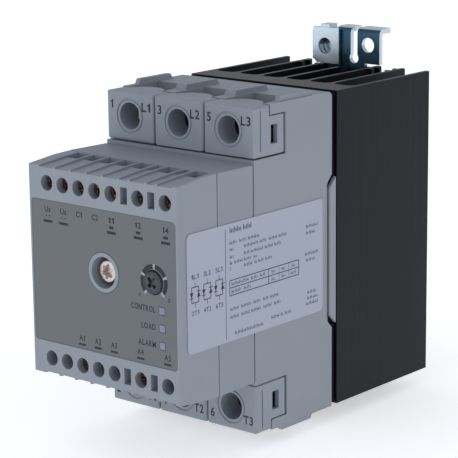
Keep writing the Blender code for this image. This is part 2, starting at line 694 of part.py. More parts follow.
def terminal_cover(label, side, pole, x):
    """Snap-on cover with a screwdriver bore, open to the back."""
    name = "terminal_cover_" + label + pole
    left, right = x - COVER_HALF_W, x + COVER_HALF_W
    obj = box(name, (left, right), (COVER_FRONT, COVER_STEP), span(side, COVER_BOTTOM, COVER_TOP))
    add(obj, box(name + "_skirt", (left, right), (COVER_STEP - CUT, COVER_SKIRT),
                 span(side, COVER_BOTTOM, COVER_SKIRT_Z)))
    arc = corner((x, COVER_ARC_D), COVER_ARC_R, 0, 180, 3 * ARC_STEPS)
    add(obj, outline_solid(name + "_arc", arc, *span(side, COVER_TOP - 2 * COVER_WALL, COVER_TOP), "xy"))
    cut(obj, box(name + "_inside", (left + COVER_WALL, right - COVER_WALL),
                 (COVER_FRONT + COVER_SKIN, COVER_SKIRT + CUT),
                 span(side, COVER_BOTTOM + COVER_WALL, COVER_TOP - COVER_WALL)))
    centre = (x, side * BORE_Z)
    add(obj, rod(name + "_tube", centre, (COVER_FRONT + SINK_IN, TUBE_BACK), TUBE_R))
    cut(obj, rod(name + "_bore", centre, (COVER_FRONT - CUT, TUBE_BACK + CUT), BORE_R))
    ring = rod(name + "_ring", centre, (COVER_FRONT - CUT, COVER_FRONT + RING_DEEP), RING_OUT)
    core = rod(name + "_core", centre, (COVER_FRONT - 2 * CUT, COVER_FRONT + CUT), RING_IN)
    link(core, CUTTERS)
    cut(ring, core)
    cut(obj, ring)
    if abs(x) > 0.0:
        edge = right if x > 0 else left
        inner = edge - GROOVE_DEEP if x > 0 else edge + GROOVE_DEEP
        outer = edge + CUT if x > 0 else edge - CUT
        cut(obj, box(name + "_groove", (min(inner, outer), max(inner, outer)), GROOVE_D,
                     span(side, *GROOVE_Z)))
        inner = edge - COVER_WALL - CUT if x > 0 else edge + COVER_WALL + CUT
        cut(obj, box(name + "_window", (min(inner, outer), max(inner, outer)), WINDOW_D,
                     span(side, *WINDOW_Z)))
    return paint(obj, GREY_COVER)


def terminal_frame(label, side, pole, x):
    """Tunnel frame of one power terminal, with its tail to the power board."""
    name = "terminal_frame_" + label + pole
    obj = box(name, (x - FRAME_HALF_W, x + FRAME_HALF_W), FRAME_D, span(side, *FRAME_Z))
    add(obj, box(name + "_tail", (x - TAIL_HALF_W, x + TAIL_HALF_W), (FRAME_D[1] - SINK_IN, TAIL_BACK),
                 span(side, *TAIL_Z)))
    cut(obj, box(name + "_tunnel", (x - TUNNEL_HALF_W, x + TUNNEL_HALF_W), TUNNEL_D,
                 span(side, FRAME_Z[0] - CUT, FRAME_Z[1] + CUT)))
    cut(obj, rod(name + "_thread", (x, side * BORE_Z), (FRAME_D[0] - CUT, TUNNEL_D[0] + SINK_IN),
                 THREAD_R + THREAD_PLAY))
    return paint(obj, COPPER)


def power_screw(label, side, pole, x):
    """Captive clamping screw of one power terminal."""
    name = "terminal_screw_" + label + pole
    front, under = SCREW_HEAD_D
    profile = [(0.0, front), (SCREW_HEAD_R - SCREW_CHAMFER, front),
               (SCREW_HEAD_R, front + SCREW_CHAMFER), (SCREW_HEAD_R, under), (THREAD_R, under),
               (THREAD_R, SCREW_TIP - TIP_CHAMFER), (THREAD_R - TIP_CHAMFER, SCREW_TIP),
               (0.0, SCREW_TIP)]
    obj = turned(name, (x, side * BORE_Z), profile)
    cross_recess(obj, (x, side * BORE_Z), front, POWER_CROSS, CROSS_TURN)
    return paint(obj, NICKEL, True)


def pressure_pad(label, side, pole, x):
    """Threaded clamping plate that travels along the captive screw."""
    name = "pressure_pad_" + label + pole
    obj = box(name, (x - PAD_HALF_W, x + PAD_HALF_W), PAD_D, span(side, *PAD_Z))
    obj.location.y = y_at(PAD_D[0]) * MM
    obj.data.transform(Matrix.Translation((0.0, (PAD_D[1] - PAD_D[0]) / 2 * MM, 0.0)))
    cut(obj, rod(name + "_thread", (x, side * BORE_Z), (PAD_D[0] - CUT, PAD_D[1] + CUT),
                 THREAD_R + THREAD_PLAY))
    return paint(obj, COPPER)


def front_cover():
    """Front half of the control module: screw holes, wire channels, boss."""
    top = list(MODULE_PROFILE)
    outline = top + [(d, -z) for d, z in reversed(top)]
    obj = outline_solid("front_cover", outline, -HALF_W, HALF_W, "yz")
    half_w, half_h, front = BOARD_ROOM
    cut(obj, box("board_room", (-half_w, half_w), (front, SEAM_D + CUT), (-half_h, half_h)))
    wide = FACE_HALF_W + FACE_PLAY
    tall = FACE_HALF_H + FACE_PLAY
    face = rounded_rectangle(-wide, wide, -tall, tall, FACE_ROUND)
    cut(obj, outline_solid("face_pocket", face, -CUT, FACE_POCKET, "xz", CUTTERS))
    add(obj, rod("boss", BOSS_XZ, (0.0, BOSS_BACK), BOSS_R, BOSS_SIDES))
    cut(obj, rod("boss_bore", BOSS_XZ, (-CUT, BOSS_FLOOR), BOSS_BORE_R, BOSS_SIDES))
    cut(obj, rod("boss_hole", BOSS_XZ, (BOSS_FLOOR - CUT, BOSS_BACK + CUT), BOSS_HOLE_R))
    cut(obj, rod("knob_hole", KNOB_XZ, (-CUT, front + CUT), KNOB_HOLE_R))
    for number, z in enumerate(LED_ZS):
        cut(obj, box("led_hole" + str(number), (LED_X - LED_HOLE_HALF, LED_X + LED_HOLE_HALF),
                     (-CUT, front + CUT), (z - LED_HOLE_HALF, z + LED_HOLE_HALF)))
    left, right, room_front, low, high = BLOCK_ROOM
    for label, side in SIDES:
        cut(obj, box("block_room_" + label, (left, right), (room_front, SEAM_D + CUT),
                     span(side, low, high)))
        for number, x in enumerate(HOLE_XS):
            cut(obj, rod("screw_hole_" + label + str(number), (x, side * HOLE_Z),
                         (-CUT, room_front + CUT), HOLE_R, HOLE_SIDES))
            wire_channel(obj, "channel_" + label + str(number), x, CHANNEL_HALF_W, side)
        for number, x in enumerate(PROBE_XS):
            half_w, half_z = PROBE_SIZE
            cut(obj, box("probe_" + label + str(number), (x - half_w, x + half_w), (-CUT, PROBE_DEEP),
                         (side * HOLE_Z - half_z, side * HOLE_Z + half_z)))
            wire_channel(obj, "probe_channel_" + label + str(number), x, PROBE_CHANNEL_HALF_W, side)
    return paint(obj, GREY_FRONT)


def wire_channel(target, name, x, half_width, side):
    """Shallow ramp across the roof that ends in a wire entry."""
    (d0, z0), (d1, z1) = CHANNEL_FLOOR
    sky = MODULE_PROFILE[-1][1] + CUT
    profile = [(d0, z0), (d1, z1), (d1, ENTRY_DEEP_Z), (ENTRY_BACK, ENTRY_DEEP_Z),
               (ENTRY_BACK, sky), (d0, sky)]
    tool = outline_solid(name, [(d, side * z) for d, z in profile], x - half_width,
                         x + half_width, "yz", CUTTERS)
    cut(target, tool)


def control_housing():
    """Rear half of the control module, open to the front."""
    z0, z1 = HOUSING_H
    front = SEAM_D + GAP
    outline = [(front, z0), (MODULE_BACK, z1), (MODULE_BACK, -z1), (front, -z0)]
    obj = outline_solid("control_housing", outline, -HALF_W, HALF_W, "yz")
    inside = HALF_W - MODULE_WALL
    cut(obj, box("module_cavity", (-inside, inside), (front - CUT, MODULE_BACK - MODULE_WALL),
                 (-z1 + MODULE_WALL, z1 - MODULE_WALL)))
    cut(obj, rod("module_hole", BOSS_XZ, (MODULE_BACK - 2 * MODULE_WALL, MODULE_BACK + CUT),
                 BOSS_HOLE_R))
    return paint(obj, GREY_MODULE)


def faceplate():
    """Thin printed overlay in the pocket of the front cover."""
    outline = rounded_rectangle(-FACE_HALF_W, FACE_HALF_W, -FACE_HALF_H, FACE_HALF_H, FACE_ROUND)
    obj = outline_solid("faceplate", outline, FACE_FRONT, FACE_FRONT + FACE_T, "xz")
    through = (FACE_FRONT - CUT, FACE_FRONT + FACE_T + CUT)
    cut(obj, rod("face_boss", BOSS_XZ, through, BOSS_R + BOSS_PLAY, BOSS_SIDES))
    cut(obj, rod("face_knob", KNOB_XZ, through, KNOB_HOLE_R))
    for number, z in enumerate(LED_ZS):
        cut(obj, box("face_led" + str(number), (LED_X - LED_HOLE_HALF, LED_X + LED_HOLE_HALF),
                     through, (z - LED_HOLE_HALF, z + LED_HOLE_HALF)))
    return paint(obj, FACE)


def control_terminals(label, side):
    """Moulded terminal block behind one row of screw holes."""
    left, right, _, low, high = BLOCK_ROOM
    name = "upper_terminal_block" if side > 0 else "lower_terminal_block"
    obj = box(name, (left + BLOCK_INSET, right - BLOCK_INSET), BLOCK_D,
              span(side, low + BLOCK_INSET, high - BLOCK_INSET))
    for number, x in enumerate(HOLE_XS):
        cut(obj, box(name + "_entry" + str(number), (x - BLOCK_ENTRY_HALF_W, x + BLOCK_ENTRY_HALF_W),
                     BLOCK_ENTRY_D, span(side, BLOCK_ENTRY_Z, high + CUT)))
        if side > 0 or number in LOWER_SCREW_INDEXES:
            cut(obj, rod(name + "_thread" + str(number), (x, side * HOLE_Z),
                         (BLOCK_D[0] - CUT, BLOCK_ENTRY_D[0] + GAP), CONTROL_SHANK_R + THREAD_PLAY,
                         SMALL_SIDES))
    return paint(obj, BLOCK)


def control_screw(name, x, side):
    """Clamping screw of one control terminal."""
    front, under = CONTROL_HEAD_D
    profile = [(0.0, front), (CONTROL_HEAD_R - CONTROL_CHAMFER, front),
               (CONTROL_HEAD_R, front + CONTROL_CHAMFER), (CONTROL_HEAD_R, under),
               (CONTROL_SHANK_R, under), (CONTROL_SHANK_R, CONTROL_TIP), (0.0, CONTROL_TIP)]
    obj = turned(name, (x, side * HOLE_Z), profile, SMALL_SIDES)
    cross_recess(obj, (x, side * HOLE_Z), front, CONTROL_CROSS, CONTROL_TURN)
    return paint(obj, BRASS, True)


def fixing_screw():
    """Long screw that holds the control module to the main housing."""
    front, under = FIX_HEAD_D
    profile = [(0.0, front), (FIX_HEAD_R - FIX_CHAMFER, front), (FIX_HEAD_R, front + FIX_CHAMFER),
               (FIX_HEAD_R, under), (FIX_SHANK_R, under), (FIX_SHANK_R, FIX_TIP), (0.0, FIX_TIP)]
    obj = turned("fixing_screw", BOSS_XZ, profile)
    cross_recess(obj, BOSS_XZ, front, FIX_CROSS, FIX_TURN)
    return paint(obj, NICKEL, True)


def trimmer_knob():
    """Adjuster with a cross slot, turning on its shaft."""
    profile = [(0.0, KNOB_FRONT), (KNOB_R - KNOB_CHAMFER, KNOB_FRONT),
               (KNOB_R, KNOB_FRONT + KNOB_CHAMFER), (KNOB_R, KNOB_BACK), (KNOB_SHAFT_R, KNOB_BACK),
               (KNOB_SHAFT_R, KNOB_SHAFT_BACK), (0.0, KNOB_SHAFT_BACK)]
    obj = turned("trimmer_knob", KNOB_XZ, profile)
    cross_recess(obj, KNOB_XZ, KNOB_FRONT, KNOB_SLOT, 0.0)
    return paint(obj, BLACK, True)


def trimmer_body():
    """Potentiometer body on the control board."""
    x, z = KNOB_XZ
    obj = box("trimmer_body", (x - TRIMMER_HALF, x + TRIMMER_HALF), TRIMMER_D,
              (z - TRIMMER_HALF, z + TRIMMER_HALF))
    cut(obj, rod("trimmer_bore", KNOB_XZ, (TRIMMER_D[0] - CUT, KNOB_SHAFT_BACK + SHAFT_ROOM),
                 KNOB_SHAFT_R + THREAD_PLAY))
    return paint(obj, BLACK)


def control_board():
    """Control circuit board around the central boss."""
    half_w, half_h = BOARD_HALF
    obj = box("control_board", (-half_w, half_w), BOARD_D, (-half_h, half_h))
    cut(obj, rod("board_hole", BOSS_XZ, (BOARD_D[0] - CUT, BOARD_D[1] + CUT), BOSS_R + GAP, BOSS_SIDES))
    return paint(obj, PCB)


def light_pipe(number, z):
    """Square light pipe from the control board to the overlay."""
    obj = box("light_pipe_" + str(number), (LED_X - LED_HALF, LED_X + LED_HALF), LED_D,
              (z - LED_HALF, z + LED_HALF))
    return paint(obj, LENS)


def rating_label():
    """Printed film label on the right-hand side."""
    d0, d1 = LABEL_D
    outline = rounded_rectangle(d0, d1, -LABEL_HALF_H, LABEL_HALF_H, LABEL_ROUND)
    low = HALF_W + LABEL_LIFT
    return paint(outline_solid("rating_label", outline, low, low + LABEL_T, "yz"), LABEL)


def power_stage():
    """Base plate, thyristor modules and power board inside the housing."""
    half_w, half_h = BASE_HALF
    base = box("base_plate", (-half_w, half_w), BASE_D, (-half_h, half_h))
    half_w, half_h = PEDESTAL_HALF
    add(base, box("pedestal", (-half_w, half_w), (PEDESTAL_D, BASE_D[0] + SINK_IN), (-half_h, half_h)))
    for sign in (-1.0, 1.0):
        outer = sign * (BASE_HALF[0] + CUT)
        inner = sign * (HALF_W - CLIP_SEAT)
        high = CLIP_PROFILE[0][1] + GAP
        cut(base, box("clip_room" + ("_left" if sign < 0 else "_right"),
                      (min(outer, inner), max(outer, inner)), (BASE_D[0] - CUT, BASE_D[1] + CUT),
                      (-high, high)))
    paint(base, CERAMIC)
    half_w, half_h = POWER_BOARD_HALF
    paint(box("power_board", (-half_w, half_w), POWER_BOARD_D, (-half_h, half_h)), PCB)
    half_w, half_h = THYRISTOR_HALF
    for pole, x in POLES:
        module = box("thyristor_module_" + pole, (x - half_w, x + half_w), THYRISTOR_D,
                     (-half_h, half_h))
        paint(bevel(module, MODULE_EDGE), EPOXY)


heatsink()
rail_plate()
earth_clip_nut()
rail_latch()
latch_spring()
main_housing()
retention_clip("retention_clip_left", -1.0)
retention_clip("retention_clip_right", 1.0)
for row, way in SIDES:
    for pole_name, pole_x in POLES:
        terminal_cover(row, way, pole_name, pole_x)
        terminal_frame(row, way, pole_name, pole_x)
        power_screw(row, way, pole_name, pole_x)
        pressure_pad(row, way, pole_name, pole_x)
    control_terminals(row, way)
power_stage()
control_housing()
front_cover()
faceplate()
control_board()
trimmer_body()
trimmer_knob()
fixing_screw()
rating_label()
for led_number, led_z in enumerate(LED_ZS, 1):
    light_pipe(led_number, led_z)
for screw_number, screw_x in enumerate(HOLE_XS, 1):
    control_screw("upper_control_screw_" + str(screw_number), screw_x, 1.0)
for screw_index in LOWER_SCREW_INDEXES:
    control_screw("lower_control_screw_" + str(screw_index + 1), HOLE_XS[screw_index], -1.0)
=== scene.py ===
# %% [markdown]
# # A three-pole solid state relay on its heatsink
# The object is a grey moulded switching device for a mounting rail: a control module with
# small screw terminals in front, six power terminals above and below, a rating label on the
# side, and a black finned heatsink with a folded steel rail plate behind.
# The fixed frame comes first. Every place and size below is read from it.

import json
import math

import bmesh
import bpy
import numpy as np
from mathutils import Matrix, Vector


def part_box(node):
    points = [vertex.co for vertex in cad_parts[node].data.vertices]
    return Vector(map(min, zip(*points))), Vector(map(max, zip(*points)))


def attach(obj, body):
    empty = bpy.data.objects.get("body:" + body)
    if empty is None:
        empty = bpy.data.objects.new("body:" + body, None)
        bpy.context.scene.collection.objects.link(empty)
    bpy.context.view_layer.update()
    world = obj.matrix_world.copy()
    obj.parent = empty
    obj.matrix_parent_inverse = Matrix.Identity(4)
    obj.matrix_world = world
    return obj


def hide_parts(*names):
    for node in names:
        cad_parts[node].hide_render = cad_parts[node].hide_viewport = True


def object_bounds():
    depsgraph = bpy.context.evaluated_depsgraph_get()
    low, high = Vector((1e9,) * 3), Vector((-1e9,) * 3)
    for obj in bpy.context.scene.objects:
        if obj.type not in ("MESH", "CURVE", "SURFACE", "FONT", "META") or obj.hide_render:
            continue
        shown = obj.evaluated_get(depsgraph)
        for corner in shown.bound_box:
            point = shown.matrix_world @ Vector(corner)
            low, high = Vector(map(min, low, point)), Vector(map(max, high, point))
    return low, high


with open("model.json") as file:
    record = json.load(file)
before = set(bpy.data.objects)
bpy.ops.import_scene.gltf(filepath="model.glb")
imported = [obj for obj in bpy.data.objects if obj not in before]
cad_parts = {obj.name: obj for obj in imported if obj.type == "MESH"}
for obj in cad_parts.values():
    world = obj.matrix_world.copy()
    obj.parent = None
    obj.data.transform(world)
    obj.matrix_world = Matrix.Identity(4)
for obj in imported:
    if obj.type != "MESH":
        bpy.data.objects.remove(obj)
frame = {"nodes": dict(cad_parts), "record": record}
cad_low, cad_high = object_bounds()
print("frame box", [round(v * 1000, 1) for v in cad_high - cad_low], "mm")

# %% [markdown]
# ## Units and small helpers
# Lengths are given in millimetres and turned to metres where they enter a mesh.
# The front of the device looks along -Y, its right side along +X, and Z is up.

# %% Millimetres and middles
MM = 0.001
POLES = ("1", "2", "3")
ROWS = (("l", 1.0), ("t", -1.0))        # line terminals above, load terminals below
SPOTS = [row + pole for row, _ in ROWS for pole in POLES]


def middle(node_name):
    """The middle of a frame node's box, in metres."""
    low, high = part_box(node_name)
    return (low + high) / 2


def linked(name, data):
    """A new object of this data, put in the scene."""
    made = bpy.data.objects.new(name, data)
    bpy.context.scene.collection.objects.link(made)
    return made


FRONT_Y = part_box("front_cover")[0].y
FACE_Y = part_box("faceplate")[0].y
COVER_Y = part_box("terminal_cover_l1")[0].y
LABEL_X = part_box("rating_label")[1].x
print("front face at y =", round(FRONT_Y * 1000, 2), "mm")

# %% [markdown]
# ## Colour
# Blender's shaders want linear light, while a colour given here is an sRGB hex value.

# %% One function from hex to linear


def linear(code):
    """sRGB hex to linear: v / 12.92 below 0.04045, else ((v + 0.055) / 1.055) ** 2.4."""
    value = np.array([int(code[k:k + 2], 16) / 255 for k in (1, 3, 5)])
    low = value / 12.92
    high = ((value + 0.055) / 1.055) ** 2.4
    return (*np.where(value <= 0.04045, low, high).tolist(), 1.0)


# %% [markdown]
# ## Building a shader
# A material is a small graph. One function adds a node, sets its options, and fills or links
# its sockets, so a recipe reads from top to bottom.

# %% Shader node helper


def node(tree, kind, sockets=(), **options):
    """Add a node; sockets is a dict of name or number to a value or another node's output."""
    made = tree.nodes.new("ShaderNode" + kind)
    for name, value in options.items():
        setattr(made, name, value)
    for key, value in dict(sockets).items():
        if isinstance(value, bpy.types.NodeSocket):
            tree.links.new(value, made.inputs[key])
        else:
            made.inputs[key].default_value = value
    return made


def blank(name):
    """A material with its Principled shader and Object coordinates ready."""
    made = bpy.data.materials.new(name)
    made.use_nodes = True
    tree = made.node_tree
    shader = tree.nodes["Principled BSDF"]
    coords = node(tree, "TexCoord").outputs["Object"]
    return made, tree, shader, coords


def per_metre(size_mm):
    """Texture scale that gives features of about this size in millimetres."""
    return 1.0 / (size_mm * MM)


def blend(tree, factor, first, second):
    """Colour output that goes from first to second hex as factor goes from 0 to 1."""
    ramp = node(tree, "ValToRGB", {0: factor})
    ramp.color_ramp.elements[0].color = linear(first)
    ramp.color_ramp.elements[1].color = linear(second)
    return ramp.outputs["Color"]


def spread(tree, factor, low, high):
    """Number output that goes from low to high as factor goes from 0.3 to 0.7."""
    sockets = {"Value": factor, "From Min": 0.3, "From Max": 0.7, "To Min": low, "To Max": high}
    return node(tree, "MapRange", sockets).outputs["Result"]


def relief(tree, height, depth_mm):
    """Normal output of a height pattern that is depth_mm deep."""
    sockets = {"Height": height, "Distance": depth_mm * MM, "Strength": 1.0}
    return node(tree, "Bump", sockets).outputs["Normal"]


# %% [markdown]
# ## Moulded thermoplastic
# The housings are glass-filled polyamide, injection moulded in a spark-eroded mould. That
# leaves a fine matte grain of a few tenths of a millimetre and a soft, broad highlight, and
# the tone drifts slightly over a few centimetres where the melt flowed.

# %% Moulded plastics


def moulded_plastic(name, light, dark, grain_mm=0.35, rough=(0.5, 0.62), grain_deep=0.012):
    """Slow tone drift, spark-eroded grain and a slightly uneven gloss."""
    made, tree, shader, coords = blank(name)
    drift = node(tree, "TexNoise", {"Vector": coords, "Scale": per_metre(30), "Detail": 3.0})
    grain = node(tree, "TexNoise", {"Vector": coords, "Scale": per_metre(grain_mm), "Detail": 2.0})
    rub = node(tree, "TexNoise", {"Vector": coords, "Scale": per_metre(6), "Detail": 4.0})
    tone = blend(tree, drift.outputs["Fac"], dark, light)
    tree.links.new(tone, shader.inputs["Base Color"])
    tree.links.new(spread(tree, rub.outputs["Fac"], *rough), shader.inputs["Roughness"])
    tree.links.new(relief(tree, grain.outputs["Fac"], grain_deep), shader.inputs["Normal"])
    shader.inputs["IOR"].default_value = 1.53
    return made


HOUSING_PLASTIC = moulded_plastic("moulded_polyamide_housing", "#8f969f", "#888f96")
COVER_PLASTIC = moulded_plastic("moulded_polyamide_covers", "#9098a2", "#8a919b")
MODULE_PLASTIC = moulded_plastic("moulded_polyamide_module", "#8d949e", "#868d97")
FRONT_PLASTIC = moulded_plastic("moulded_polyamide_front", "#8f96a0", "#899099")
BLOCK_PLASTIC = moulded_plastic("moulded_pbt_terminal_block", "#3a3f45", "#2f3338")
KNOB_PLASTIC = moulded_plastic("moulded_acetal_knob", "#353c47", "#2c323c", 0.25, (0.35, 0.45),
                               0.006)
EPOXY = moulded_plastic("cast_epoxy_module", "#2a2a2d", "#222225", 0.6)
print("plastics made")

# %% [markdown]
# ## Printed polyester films
# The front overlay and the rating label are printed polyester with a fine satin texture on
# top: flat colour, a slight sheen, and hardly any relief.

# %% Films and inks


def printed_film(name, light, dark, rough):
    """Flat tone with a fine satin pattern in its relief and gloss."""
    made, tree, shader, coords = blank(name)
    satin = node(tree, "TexNoise", {"Vector": coords, "Scale": per_metre(0.25), "Detail": 1.0})
    drift = node(tree, "TexNoise", {"Vector": coords, "Scale": per_metre(18), "Detail": 2.0})
    tree.links.new(blend(tree, drift.outputs["Fac"], dark, light), shader.inputs["Base Color"])
    tree.links.new(spread(tree, satin.outputs["Fac"], *rough), shader.inputs["Roughness"])
    tree.links.new(relief(tree, satin.outputs["Fac"], 0.004), shader.inputs["Normal"])
    return made


OVERLAY_FILM = printed_film("polyester_overlay", "#676b6e", "#63676a", (0.42, 0.52))
LABEL_FILM = printed_film("polyester_rating_label", "#a7aebe", "#a2a9b9", (0.34, 0.44))
DARK_INK = printed_film("screen_printed_dark_ink", "#1b1f28", "#161a21", (0.55, 0.65))
LABEL_INK = printed_film("thermal_printed_label_ink", "#3f4553", "#363c49", (0.45, 0.55))
PALE_INK = printed_film("screen_printed_white_ink", "#a3a9b1", "#989ea6", (0.45, 0.55))
print("films made")

# %% [markdown]
# ## Black anodised aluminium
# The heatsink is pressed through a die, so fine lines run along its length (Z). Anodising
# keeps them and turns the surface a blue-black that still has a satin metal sheen. Its sawn
# ends were cut across the fins, so they carry fine arcs and look greyer.

# %% Heatsink metals


def stretched(tree, coords, scale):
    """Object coordinates scaled by a different amount along each axis."""
    return node(tree, "Mapping", {"Vector": coords, "Scale": scale}).outputs["Vector"]


def extruded_black(name, light, dark):
    """Die lines along Z in relief and tone, over a satin anodised base."""
    made, tree, shader, coords = blank(name)
    fine = stretched(tree, coords, (per_metre(0.35), per_metre(0.35), per_metre(60)))
    broad = stretched(tree, coords, (per_metre(2.6), per_metre(2.6), per_metre(200)))
    lines = node(tree, "TexNoise", {"Vector": fine, "Scale": 1.0, "Detail": 3.0})
    bands = node(tree, "TexNoise", {"Vector": broad, "Scale": 1.0, "Detail": 2.0})
    tree.links.new(blend(tree, bands.outputs["Fac"], dark, light), shader.inputs["Base Color"])
    tree.links.new(spread(tree, lines.outputs["Fac"], 0.36, 0.5), shader.inputs["Roughness"])
    tree.links.new(relief(tree, lines.outputs["Fac"], 0.02), shader.inputs["Normal"])
    shader.inputs["Metallic"].default_value = 0.4
    shader.inputs["Specular IOR Level"].default_value = 0.2
    return made


def sawn_black(name, light, dark):
    """Fine parallel saw marks across the fins, greyer than the sides."""
    made, tree, shader, coords = blank(name)
    marks = node(tree, "TexWave", {"Vector": coords, "Scale": per_metre(4.5), "Distortion": 1.5,
                                   "Detail": 2.0, "Detail Scale": 3.0}, bands_direction="Y")
    tree.links.new(blend(tree, marks.outputs["Fac"], dark, light), shader.inputs["Base Color"])
    tree.links.new(spread(tree, marks.outputs["Fac"], 0.5, 0.6), shader.inputs["Roughness"])
    tree.links.new(relief(tree, marks.outputs["Fac"], 0.015), shader.inputs["Normal"])
    shader.inputs["Metallic"].default_value = 0.3
    return made


EXTRUDED_ALUMINIUM = extruded_black("anodised_extruded_aluminium", "#171b23", "#0f1218")
SAWN_ALUMINIUM = sawn_black("anodised_sawn_aluminium", "#55504f", "#474342")
print("heatsink metals made")

# %% [markdown]
# ## Plated steel, brass and copper
# Zinc plate with a blue passivation is bright and slightly cloudy, with tiny crystal facets.
# On the broad faces of the rail plate, a darker deep blue copy of it is a painted dark
# reflection. Screws are nickel plated or yellow passivated, and the terminal frames are
# tinned copper.

# %% Plated metals


def plated(name, light, dark, cloud_mm, rough, deep):
    """Cloudy plating: tone and gloss follow one pattern, and a finer one gives the relief."""
    made, tree, shader, coords = blank(name)
    clouds = node(tree, "TexNoise", {"Vector": coords, "Scale": per_metre(cloud_mm), "Detail": 4.0})
    facets = per_metre(cloud_mm / 8)
    grit = node(tree, "TexNoise", {"Vector": coords, "Scale": facets, "Detail": 2.0})
    tree.links.new(blend(tree, clouds.outputs["Fac"], dark, light), shader.inputs["Base Color"])
    tree.links.new(spread(tree, clouds.outputs["Fac"], *rough), shader.inputs["Roughness"])
    tree.links.new(relief(tree, grit.outputs["Fac"], deep), shader.inputs["Normal"])
    shader.inputs["Metallic"].default_value = 1.0
    return made


ZINC = plated("blue_zinc_plated_steel", "#dde6ec", "#a9bcc9", 5.0, (0.2, 0.34), 0.01)
# A darker copy of the zinc: its deep blue is a painted dark reflection on faces that look forwards.
ZINC_WITH_PAINTED_DARK_REFLECTION = plated("zinc_with_painted_dark_reflection", "#4d6c7c", "#1b3849", 4.0, (0.22, 0.36), 0.01)
NICKEL = plated("nickel_plated_steel", "#e2d8d0", "#b9aea6", 2.0, (0.24, 0.36), 0.006)
BRASS = plated("yellow_passivated_screw", "#8d705c", "#4e3b30", 1.2, (0.25, 0.4), 0.006)
COPPER = plated("tinned_copper", "#c9c2b8", "#a59e94", 3.0, (0.28, 0.4), 0.006)
SPRING = plated("drawn_spring_steel", "#9a9a9c", "#77777a", 1.0, (0.28, 0.4), 0.004)
print("plated metals made")

# %% [markdown]
# ## Light pipes and circuit board
# The three lamps end in small clouded acrylic windows. The boards hardly show: they are
# glass-epoxy with a green solder mask, and the weave of the glass prints through it.

# %% Acrylic and board


def clouded_acrylic(name, light, dark):
    """Unlit light pipe: smooth, slightly milky, with a little light passing under its skin."""
    made, tree, shader, coords = blank(name)
    milk = node(tree, "TexNoise", {"Vector": coords, "Scale": per_metre(1.2), "Detail": 2.0})
    tree.links.new(blend(tree, milk.outputs["Fac"], dark, light), shader.inputs["Base Color"])
    shader.inputs["Roughness"].default_value = 0.18
    shader.inputs["IOR"].default_value = 1.49
    shader.inputs["Subsurface Weight"].default_value = 0.15
    shader.inputs["Subsurface Scale"].default_value = 0.5 * MM
    return made


def solder_mask(name, light, dark):
    """Green mask over a plain weave of 0.5 mm glass yarns."""
    made, tree, shader, coords = blank(name)
    weave = node(tree, "TexChecker", {"Vector": coords, "Scale": per_metre(0.5)})
    soft = node(tree, "TexNoise", {"Vector": coords, "Scale": per_metre(3), "Detail": 2.0})
    tree.links.new(blend(tree, soft.outputs["Fac"], dark, light), shader.inputs["Base Color"])
    tree.links.new(relief(tree, weave.outputs["Fac"], 0.004), shader.inputs["Normal"])
    shader.inputs["Roughness"].default_value = 0.32
    return made


LENS = clouded_acrylic("clouded_acrylic_light_pipe", "#8190a6", "#74829a")
BOARD = solder_mask("green_solder_mask", "#1f5a38", "#174a2d")
print("acrylic and board made")

# %% [markdown]
# ## Finishing a frame part
# The frame's parts have the right shape but dead-sharp edges. A real moulding has radii of a
# few tenths of a millimetre, and they catch the light. A merged copy of each part gets a
# Bevel modifier and stands in for the original, which the frame keeps for contact.

# %% Copies with rounded edges
BODY_OF = {name: body for body, names in frame["record"]["behaviour"]["bodies"].items()
           for name in names}
WELD = 0.001 * MM
FLAT = math.radians(0.5)        # neighbours closer than this are one face
ON_BOX = 0.02 * MM              # an edge this close to the node's box lies on it
SHARP = math.radians(40)        # edges sharper than this are rounded
CRISP = math.radians(32)        # and edges sharper than this aren't shaded smooth


def merged_copy(node_name, name, edge_mm, outer_mm):
    """A welded copy of a node. Each sharp edge gets a bevel weight: 1 where it runs along an
    edge of the node's box, and edge_mm / outer_mm elsewhere."""
    low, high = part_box(node_name)
    work = bmesh.new()
    work.from_mesh(frame["nodes"][node_name].data)
    bmesh.ops.remove_doubles(work, verts=work.verts, dist=WELD)
    bmesh.ops.dissolve_limit(work, angle_limit=FLAT, verts=work.verts, edges=work.edges)
    weight = work.edges.layers.float.new("bevel_weight_edge")
    for edge in work.edges:
        if len(edge.link_faces) != 2 or edge.calc_face_angle() < SHARP:
            continue
        on_planes = sum(all(min(v.co[k] - low[k], high[k] - v.co[k]) < ON_BOX
                            for v in edge.verts) for k in range(3))
        edge[weight] = 1.0 if on_planes > 1 else edge_mm / outer_mm
    mesh = bpy.data.meshes.new(name)
    work.to_mesh(mesh)
    work.free()
    return linked(name, mesh)


def rounded(made, outer_mm, segments, clamp=True):
    """Round the weighted edges and shade the result smooth between crisp edges. A clamped
    bevel shrinks everywhere when one edge is short, so the covers go without the clamp."""
    made.data.shade_smooth()
    made.data.set_sharp_from_angle(angle=CRISP)
    edges = made.modifiers.new("edges", "BEVEL")
    edges.width = outer_mm * MM
    edges.segments = segments
    edges.limit_method = "WEIGHT"
    edges.use_clamp_overlap = clamp
    edges.harden_normals = True
    return made


def stand_in(made, node_name, material):
    """The piece rides the node's body, replaces it and takes a finish."""
    made.data.materials.clear()
    made.data.materials.append(material)
    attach(made, BODY_OF[node_name])
    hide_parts(node_name)
    return made


def finished(node_name, suffix, edge_mm, material, outer_mm=None, segments=2, clamp=True):
    """A rounded stand-in for one frame node. Its radius is edge_mm, and outer_mm along the
    edges of its box."""
    outer_mm = outer_mm or edge_mm
    made = merged_copy(node_name, node_name + suffix, edge_mm, outer_mm)
    return stand_in(rounded(made, outer_mm, segments, clamp), node_name, material)


